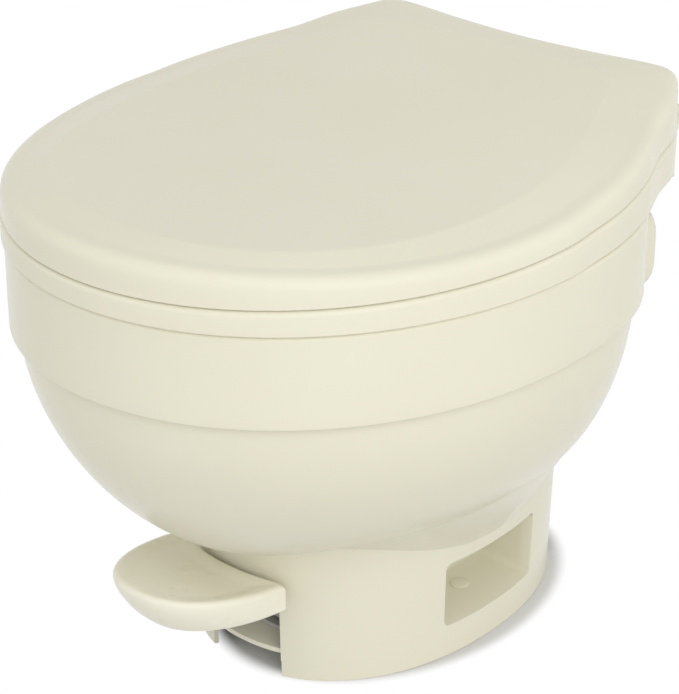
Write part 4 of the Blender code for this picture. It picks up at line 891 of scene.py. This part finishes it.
def make_dish():
    """Rings from the hollow underside, down inside the skirt, up outside it, over the lip and into the dish."""

    def row(inward, drop, shrink=0.0):
        line = dish_outline(inward) * (1 - shrink) + np.array(dish_heart) * shrink
        return np.concatenate([line, dish_height(line[:, 1])[:, None] - drop], 1)

    def side(inward, share, up=0.0):
        line = dish_outline(inward, dish_lean * share ** 1.6)
        top = dish_height(line[:, 1]) - dish_roll
        foot = dish_height(line[:, 1], dish_foot_rear, dish_foot_front)
        return np.concatenate([line, (top + (foot - top) * share)[:, None] + up], 1)

    rows = [row(dish_floor_in, dish_hollow + thin, shrink) for shrink in (0.9, 0.5, 0.0)]
    rows += [row(thin + dish_roll, thin), row(thin, dish_roll + thin)]
    rows += [side(thin, share) for share in (0.35, 0.6, 0.8, 1.0)] + [side(dish_edge, 1.0)]
    rows += [side(0, 1.0, dish_edge)] + [side(0, share) for share in (0.85, 0.7, 0.5, 0.3, 0.15)]
    rows += [row(inward, down) for inward, down in rounded(dish_roll, 8)]
    rows += [row(dish_roll + (dish_floor_in - dish_roll) * t, dish_hollow * eased(t) * 0.8)
             for t in np.linspace(0, 1, 9)[1:]]
    rows += [row(dish_floor_in, dish_hollow * (1 - 0.2 * (1 - shrink) ** 2), shrink)
             for shrink in np.linspace(0, 0.96, 10)[1:]]
    return [skinned(rows, "cap"), eased_box(boss_low, boss_high, 0.0015)]


# The pedal's cream is painted paler than the bowl's cream. This is painted light that makes up for the shade the
# bowl casts over the dish.
pedal_cream_lit_for_shade = cream_plastic("pedal_cream_painted_paler", 0.24, 0.32, paint(241, 238, 220), paint(245, 242, 225))
moulding("pedal_dish", make_dish(), pedal_cream_lit_for_shade, "foot_pedal", "cream_plastic", "pedal")

# Arm, bracket and shaft of the pedal keep their CAD shapes: pale nylon on a steel shaft with two clips.
dress(nylon, "pedal_arm", "pedal_bracket")
dress(steel, "pedal_shaft", "shaft_clip_left", "shaft_clip_right", "pedal_screw_1", "pedal_screw_2",
      "bracket_screw_1", "bracket_screw_2")

# Water side at the back: a cam-pressed valve on its saddle, a brass inlet with a male thread, a rubber hose up
# the bowl's back, and the vacuum breaker whose nozzle rinses the basin.
dress(nylon, "water_valve", "valve_bracket")
dress(steel, "valve_plunger", "inlet_filter")
dress(acetal, "rinse_nozzle")
brass = turned_metal("turned_brass", paint(196, 164, 96), paint(222, 192, 122), (200.0, 900.0, 200.0))
inlet_x = -0.052
inlet_start = 0.1803
hex_radius = 0.0135
hex_long = 0.010
hex_ease = 0.0008
thread_radius = 0.0104
thread_pitch = 0.0018
thread_depth = 0.0008
thread_ease = 0.0006
inlet_end = 0.2405
inlet_bore = 0.006


def make_inlet():
    """Hexagon with turned-down corners, then a tube whose skin is cut by one helix: the radius falls by the
    depth times a triangle wave of (length / pitch - angle / full turn)."""
    angle = full_turn(96)
    flat = hex_radius * math.cos(math.pi / 6) / np.cos((angle + math.pi / 6) % (math.pi / 3) - math.pi / 6)

    def ring(y, radius):
        return np.stack([inlet_x + radius * np.cos(angle), 0 * angle + y, ball_z + radius * np.sin(angle)], 1)

    start, end = inlet_start, inlet_start + hex_long
    low, high = np.minimum(flat, hex_radius * 0.88), np.minimum(flat, hex_radius)
    rows = [ring(start, inlet_bore), ring(start, low), ring(start + hex_ease, high), ring(end - hex_ease, high),
            ring(end, low), ring(end, thread_radius - thread_depth)]
    lengths = np.linspace(end + 0.0012, inlet_end - thread_ease, 200)
    phase = (lengths[:, None] / thread_pitch - angle / (2 * math.pi)) % 1
    cut = thread_depth * np.abs(2 * phase - 1)
    fade = np.clip((inlet_end - thread_ease - lengths) / thread_pitch, 0, 1)[:, None]
    rows += [ring(y, thread_radius - depth * f - thread_depth * 0.6 * (1 - f))
             for y, depth, f in zip(lengths, cut, fade)]
    rows += [ring(inlet_end, thread_radius - thread_depth * 1.2), ring(inlet_end, inlet_bore)]
    return [skinned(rows, "loop")]


moulding("inlet_fitting_threaded", make_inlet(), brass, "base", "brass", "inlet_fitting")

hose_radius = 0.0068
hose_bend = 0.018
hose_start = 0.155
hose_bends = [(0.80, 0.1, 0.2), (0.66, 0.8, 1.5), (0.70, 0.85, 3.4)]
outlet_x = -0.034
breaker_x = -0.045
breaker_y = band_rear + 0.013
breaker_radius = 0.0145
breaker_high = step_z - 0.009
breaker_low = breaker_high - 0.044

def woven_rubber():
    """Hose cover: black rubber with the faint lattice of its braid in roughness and height."""
    look = Finish("braided_hose")
    braid = look.node("TexVoronoi", {"feature": "F1"}, {"Vector": look.place, "Scale": 700.0}, out="Distance")
    grime = look.noise(45.0, 3.0)
    return look.surface(Base_Color=look.blend(braid, rubber_black, rubber_worn), Specular_IOR_Level=0.4,
                        Roughness=look.spread(grime, 0.42, 0.62), Normal=look.bump(braid, 0.00012))


def smooth_line(places, per_span):
    """Catmull-Rom curve: each span's cubic passes its two middle points with the slope of their neighbours."""
    a, b, c, d = (np.array(places, float)[k:len(places) - 3 + k, None] for k in range(4))
    t = np.linspace(0, 1, per_span, endpoint=False)[None, :, None]
    spans = (2 * b + (c - a) * t + (2 * a - 5 * b + 4 * c - d) * t ** 2 + (3 * b - a - 3 * c + d) * t ** 3) / 2
    return np.concatenate([spans.reshape(-1, spans.shape[-1]), [places[-2]]])


def make_hose():
    """Hose along the same points as the CAD's, one smooth curve from the valve's barb to the breaker's."""
    up = breaker_low - joint_gap * 2
    rear = neck_centre + neck_length
    places = [(outlet_x, hose_start + bends * hose_bend, ball_z) for bends in (-1, 0, 1)]
    places += [(outlet_x * share, rear + behind * hose_bend, ball_z + above * hose_bend)
               for share, behind, above in hose_bends]
    places += [(breaker_x, breaker_y, up + bends * hose_bend) for bends in (-2.4, -1, 0, 1)]
    return [tube(smooth_line(places, 16), hose_radius, 32)]


moulding("fill_hose_braided", make_hose(), woven_rubber(), "base", "black_rubber", "fill_hose")

# Vacuum breaker: a turned body on the hose's end, with a spout towards the bowl and a fluted cap.
breaker_waist = 0.0012      # depth of the body's groove
breaker_barb = 0.014
breaker_cap = 0.007
barb_radius = 0.005
barb_point = 0.0006         # radius where the profile starts and ends
nozzle_z = breaker_high - 0.012
nozzle_radius = 0.006
cap_flute = 0.0007
cap_rings = ((0.4, 0.0, 0), (0.97, 0.0, 0), (1.0, 0.0005, 0), (1.0, 0.0008, 1), (1.0, 0.0042, 1),
             (1.0, 0.0046, 0), (0.985, 0.0054, 0), (0.93, 0.0060, 0), (0.7, 0.0066, 0), (0.4, 0.0069, 0),
             (0.1, breaker_cap, 0))      # share of the radius, height, and whether the flutes are cut there


def barrel(start, end, radius, ease=0.0006, sides=40):
    """Rod with eased ends: circles round its axis, their radius drawn in over the ease at both ends."""
    start, end = np.array(start, float), np.array(end, float)
    length = np.linalg.norm(end - start)
    axis = (end - start) / length
    across = np.cross(axis, (0, 0, 1) if abs(axis[2]) < 0.9 else (1, 0, 0))
    across /= np.linalg.norm(across)
    up = np.cross(axis, across)
    inward, down = rounded(ease, 4).T
    reach = np.concatenate([radius - inward[::-1], radius - inward])
    places = np.concatenate([down[::-1], length - down])
    angle = full_turn(sides)
    circle = np.cos(angle)[:, None] * across + np.sin(angle)[:, None] * up
    rows = start + places[:, None, None] * axis + reach[:, None, None] * circle
    return skinned(rows, "cap")


def make_breaker():
    """Turned body with a waist groove and two rings on its barb, and the spout's tube towards the bowl."""
    low, tip, out = breaker_low, breaker_low - breaker_barb, breaker_radius
    profile = [(barb_point, tip), (barb_radius - 0.0008, tip)]
    for up in (0.0035, 0.0075):
        profile += [(barb_radius, tip + up), (barb_radius - 0.0006, tip + up + 0.0002)]
    profile += [(barb_radius, low), (out - 0.002, low), (out, low + 0.002), (out, low + 0.020),
                (out - breaker_waist, low + 0.0208), (out - breaker_waist, low + 0.0232), (out, low + 0.024),
                (out, breaker_high), (barb_point, breaker_high)]
    profile = softened(profile, 0.0005, 4, closed=False)
    spout = barrel((breaker_x, breaker_y, nozzle_z), (breaker_x, breaker_y - breaker_radius - thin, nozzle_z),
                   nozzle_radius + thin)
    return [turned(profile, (breaker_x, breaker_y, 0), "cap"), spout]


def make_breaker_cap():
    """Cap with a domed top; its side is fluted: radius less a depth times half of 1 + cos(20 angle)."""
    angle = full_turn(240)
    base = breaker_high + joint_gap
    rows = []
    for share, up, fluted in cap_rings:
        reach = breaker_radius * share - cap_flute * fluted * (1 + np.cos(20 * angle)) / 2
        rows.append(np.stack([breaker_x + reach * np.cos(angle), breaker_y + reach * np.sin(angle),
                              0 * angle + base + up], 1))
    return [skinned(rows, "cap")]


moulding("vacuum_breaker_body", make_breaker(), nylon, "base", "grey_plastic", "vacuum_breaker")
moulding("breaker_cap_fluted", make_breaker_cap(), acetal, "base", "white_plastic", "breaker_cap")

# Hinge brackets: a rounded cream lug bolted behind each rear corner of the bowl, its front shaped to the
# bowl, with an arm that passes under the seat's skirt up to the hinge eye. Bolts and pins keep their CAD shapes.
dress(steel, "hinge_bolt_left", "hinge_bolt_right", "hinge_pin_left", "hinge_pin_right")
hinge_y = 0.2306
hinge_z = 0.350
knuckle = 0.0065
eye = (0.0995, 0.1125)
lug_x = (eye[0] - 0.0115, eye[1] + 0.0300)
lug_z = (step_z - 0.027, rim_z - 0.025)
lug_rear = band_rear - 0.007
lug_round = 0.012
leg_half = 0.002
arm_z = lug_z[1] + 0.0078
arm_bend = 0.006


def bowl_back(x, z):
    """Y of the bowl's back: the band's own curve, set in below the step."""
    share = np.abs(x) / (half_width - band_inside)
    return band_rear * (1 - share ** band_rear_power) ** (1 / band_rear_power) - step_in * (z < step_z)


def bent_bar(places, middle_x, half_x, half_thick, ease=0.001):
    """Flat bar with eased edges bent along (Y, Z) places: each ring stands square to the route's tangent."""
    route = softened(places, arm_bend, 9, closed=False)
    along = np.gradient(route, axis=0)
    along /= np.linalg.norm(along, axis=1, keepdims=True)
    square = np.stack([-along[:, 1], along[:, 0]], 1)
    edge = rectangle((-half_x, -half_thick), (half_x, half_thick), ease)
    yz = route[:, None] + square[:, None] * edge[:, 1:]
    x = np.broadcast_to(middle_x + edge[:, :1], (*yz.shape[:2], 1))
    return skinned(np.concatenate([x, yz], -1), "cap")


def hinge_barrel(side, span):
    """Barrel round the hinge line, over a span of X on one side."""
    return barrel((side * span[0], hinge_y, hinge_z), (side * span[1], hinge_y, hinge_z), knuckle)


def make_bracket(side):
    """Lug in rings from the middle of its front, which lies on the bowl, out to its edge, back along its side
    and over its rounded rear; then the bent arm and the eye."""
    centre = np.array([sum(lug_x), sum(lug_z)]) / 2
    half = np.array([lug_x[1] - lug_x[0], lug_z[1] - lug_z[0]]) / 2
    edge = rectangle(-half, half, lug_round * 1.9, 12)

    def row(scale, back, down):
        line = edge * scale + centre
        front = bowl_back(line[:, 0], line[:, 1]) + joint_gap
        y = front + (lug_rear - down - front) * back
        return np.stack([side * line[:, 0], y, line[:, 1]], 1)

    rows = [row(scale, 0, 0) for scale in (0.1, 0.4, 0.7, 0.9, 1.0)]
    rows += [row(1.0, back, lug_round) for back in (0.3, 0.65)]
    rows += [row(1 - inward / half, 1, down) for inward, down in rounded(lug_round, 10)]
    last = 1 - lug_round / half
    rows += [row(last * scale, 1, 0) for scale in (0.7, 0.4, 0.1)]
    leg_y = lug_rear - leg_half / 2
    places = [(leg_y, lug_z[0] + 2 * lug_round), (leg_y, arm_z), (hinge_y, arm_z), (hinge_y, hinge_z)]
    arm = bent_bar(places, side * sum(eye) / 2, (eye[1] - eye[0]) / 2 - joint_gap, leg_half)
    return [skinned(rows, "cap"), arm, hinge_barrel(side, eye)]


moulding("hinge_lug_left", make_bracket(-1), cream, "base", "cream_plastic", "hinge_bracket_left")
moulding("hinge_lug_right", make_bracket(1), cream, "base", "cream_plastic", "hinge_bracket_right")

# Seat: a hollow ring of cream plastic, open below, with a rounded top edge and a deeper skirt round its rear.
lid_rear = 0.2216
seat_proud = 0.001
seat_roll = 0.004
hole_half = 0.122
hole_front = 0.155
hole_rear = 0.112
hole_power = 2.15
hole_roll = 0.009
shadow_gap = 0.0005         # seat's and lid's lower edges stand this much clear, which draws the dark seams
skirt_drop = 0.0137
skirt_start = 0.186
skirt_full = 0.214
edge_round = 0.0005         # round of the lower edges of hole and lid
seat_knuckle = (0.1130, 0.1260)
seat_wall_y = 0.2166        # Y of the rear wall that the knuckle's web runs into
web_height = 0.012
web_narrow = 0.0004
web_root = 0.0045
web_ease = 0.0012
seam_rises = (-0.0048, 0.0, 0.0089)
flare_shares = [(1.0, -0.12), (1.0, 0.0), (0.9875, 0.12), (0.9716, 0.25), (0.9377, 0.385), (0.8862, 0.525),
                (0.8193, 0.665), (0.7716, 0.80), (0.7079, 0.905), (0.6416, 0.985), (0.5415, 1.0),
                (0.28, 0.980), (0.0, 0.9696), (-0.28, 0.980)]


def through(heights, y):
    """Height at Y on the parabola through three heights, at the lid's front, widest point and rear."""
    front, middle, rear = heights
    f, r = -lid_front, lid_rear
    return (front * y * (y - r) / (f * (f - r)) + middle * (y - f) * (y - r) / (f * r)
            + rear * (y - f) * y / ((r - f) * r))


front_turns = np.linspace(0, math.pi / 2, 1200, endpoint=False)
lid_half = np.concatenate([superoval(front_turns, half_width, lid_front, 1, front_squareness, 2),
                           smooth_line(flare_shares, 60) * [half_width, lid_rear]])
along_lid = run_along(lid_half)
lid_bearings = np.interp(np.linspace(0, along_lid[-1], 221), along_lid, bearing_of(lid_half))
lid_line = reach_at(lid_half, lid_bearings)


def seam(y):
    return seat_height + through(seam_rises, y)


def seat_foot(y):
    """Seat's lower outer edge: level, then a smooth step down to the skirt."""
    blend = np.clip((y - skirt_start) / (skirt_full - skirt_start), 0, 1)
    return seat_height - bowl_depth - skirt_drop * eased(blend)


def depth(line):
    return outlet_y - line * np.cos(lid_bearings)


def knuckles(span, web_low, web_high, wall_y):
    """Hinge knuckle on each side: a barrel with eased ends, and its web into the rear wall."""
    shells = []
    for side in (-1, 1):
        left, right = sorted(side * x for x in span)
        shells += [hinge_barrel(side, span),
                   eased_box((left + web_narrow, wall_y - web_root, web_low),
                             (right - web_narrow, hinge_y, web_high), web_ease)]
    return shells


def make_seat():
    """Rings from the outer foot up over the rounded edge, across the top, down into the hole and back under."""
    b = lid_bearings
    outer = moved_in(lid_line, -seat_proud, b)
    hole = reach_at(superoval(turns, hole_half, hole_front, hole_rear, hole_power, hole_power), b)
    across, hole_top = moved_in(outer, seat_roll, b), moved_in(hole, -hole_roll, b)
    under = seat_height - bowl_depth
    foot = seat_foot(depth(outer)) + shadow_gap

    def below_seam(line, down):
        return ring_of(line, seam(depth(line)) - down, b)

    rows = [ring_of(moved_in(outer, 0.0006, b), foot, b), ring_of(outer, foot + 0.0006, b)]
    rows += [below_seam(moved_in(outer, inward, b), down) for inward, down in rounded(seat_roll, 8)]
    rows += [below_seam(across * (1 - share) + hole_top * share, 0) for share in np.linspace(0, 1, 12)[1:-1]]
    rows += [below_seam(moved_in(hole, -inward, b), down) for inward, down in rounded(hole_roll, 8)[::-1]]
    inside_hole, inside = moved_in(hole, -thin, b), moved_in(outer, thin + seat_proud, b)
    rows += [ring_of(hole, under + edge_round, b), ring_of(moved_in(hole, -edge_round, b), under, b),
             ring_of(inside_hole, under, b), below_seam(inside_hole, hole_roll), below_seam(hole_top, thin),
             below_seam(moved_in(outer, seat_roll + thin, b), thin), below_seam(inside, thin + seat_roll),
             ring_of(inside, seat_foot(depth(inside)), b)]
    return [skinned(rows, "loop")] + knuckles(seat_knuckle, hinge_z - web_height, hinge_z, seat_wall_y)


moulding("seat_ring_moulding", make_seat(), cream, "seat_ring", "cream_plastic", "seat")

# Bumpers: black rubber stubs pushed into seat and lid, with rounded rims.
bumper_radius = 0.0065
bumper_round = 0.0012
bumper_point = 0.0004       # radius where the profile starts and ends


def bumper(name, body):
    """Stub as high as its CAD node."""
    low, high = (np.array(corner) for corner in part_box(name))
    line = [(bumper_point, low[2]), (bumper_radius, low[2]), (bumper_radius, high[2]), (bumper_point, high[2])]
    stub = turned(softened(line, bumper_round, 6, closed=False), (*((low + high) / 2)[:2], 0), "cap", sides=40)
    moulding(name + "_stub", [stub], rubber, body, "black_rubber", name, from_widest=False)


for bumper_name in ("seat_bumper_1_left", "seat_bumper_1_right", "seat_bumper_2_left", "seat_bumper_2_right"):
    bumper(bumper_name, "seat_ring")

# Lid: one thin moulding with a rolled edge, a sloping border and a raised, nearly flat panel. Two knuckles
# ride on the seat's hinge pins.
lid_rises = (0.0201, 0.0173, 0.0431)
lid_roll = 0.0145
border_rise = 0.0052
crown = 0.0012
roll_power = 3.2
panel_step = 0.0020         # width and height of the bend between border and panel
panel_step_rise = 0.0002
panel_half = 0.158
panel_front = 0.198
panel_rear = 0.182
panel_power = 2.25
lid_knuckle = (0.0860, 0.0990)
lid_wall_y = 0.2178
panel_shares = [(1.0, -0.10), (1.0, 0.0), (0.985, 0.14), (0.955, 0.28), (0.90, 0.44), (0.835, 0.60),
                (0.765, 0.75), (0.705, 0.88), (0.655, 0.955), (0.57, 0.99), (0.40, 1.0), (0.0, 1.0),
                (-0.30, 1.0)]


def panel_outline():
    """Panel's half outline: a superellipse at the front, run into the narrowing line of the rear."""
    front = superoval(front_turns[::2], panel_half, panel_front, 1, panel_power, 2)
    return np.concatenate([front, smooth_line(panel_shares, 40) * [panel_half, panel_rear]])


def make_lid():
    """Rings from the ceiling out and down inside, up the outer side, round the roll, up the border, over the
    panel's soft edge and across its crown."""
    b = lid_bearings
    panel = reach_at(panel_outline(), b)

    def top(line, rise):
        return seat_height + through(lid_rises, depth(line)) + rise

    def on_panel(share, down=0.0):
        line = panel * share
        return ring_of(line, top(line, border_rise + crown * (1 - share ** 2)) - down, b)

    inner, ceiling = moved_in(lid_line, thin, b), moved_in(lid_line, thin + lid_roll, b)
    foot = seam(depth(lid_line)) + joint_gap + shadow_gap
    rows = [on_panel(share, thin) for share in (0.15, 0.5, 0.8, 1.0)]
    rows += [ring_of(ceiling, top(ceiling, -thin), b), ring_of(inner, top(inner, -lid_roll), b),
             ring_of(inner, foot, b), ring_of(moved_in(lid_line, edge_round, b), foot, b),
             ring_of(lid_line, foot + edge_round, b)]
    rows += [ring_of(moved_in(lid_line, inward, b), top(lid_line, -down), b)
             for inward, down in rounded(lid_roll, 14, roll_power)]
    start, start_z = moved_in(lid_line, lid_roll, b), top(lid_line, 0)
    shoulder, shoulder_z = moved_in(panel, -panel_step, b), top(panel, border_rise - panel_step_rise)
    rows += [ring_of(start * (1 - share) + shoulder * share, start_z * (1 - share) + shoulder_z * share, b)
             for share in np.linspace(0, 0.96, 10)[1:]]
    rows += [ring_of(shoulder * (1 - t) + panel * t, shoulder_z + panel_step_rise * eased(t), b)
             for t in np.linspace(0, 1, 9)]
    rows += [on_panel(share) for share in (0.985, 0.96, 0.93, 0.88, 0.8, 0.7, 0.6, 0.5, 0.4, 0.3, 0.2, 0.1)]
    web_low = seam(lid_rear) + 2 * joint_gap
    return [skinned(rows, "cap")] + knuckles(lid_knuckle, web_low, hinge_z + web_height, lid_wall_y)


moulding("lid_moulding", make_lid(), cream, "lid_cover", "cream_plastic", "lid")
bumper("lid_bumper_1_left", "lid_cover")
bumper("lid_bumper_1_right", "lid_cover")
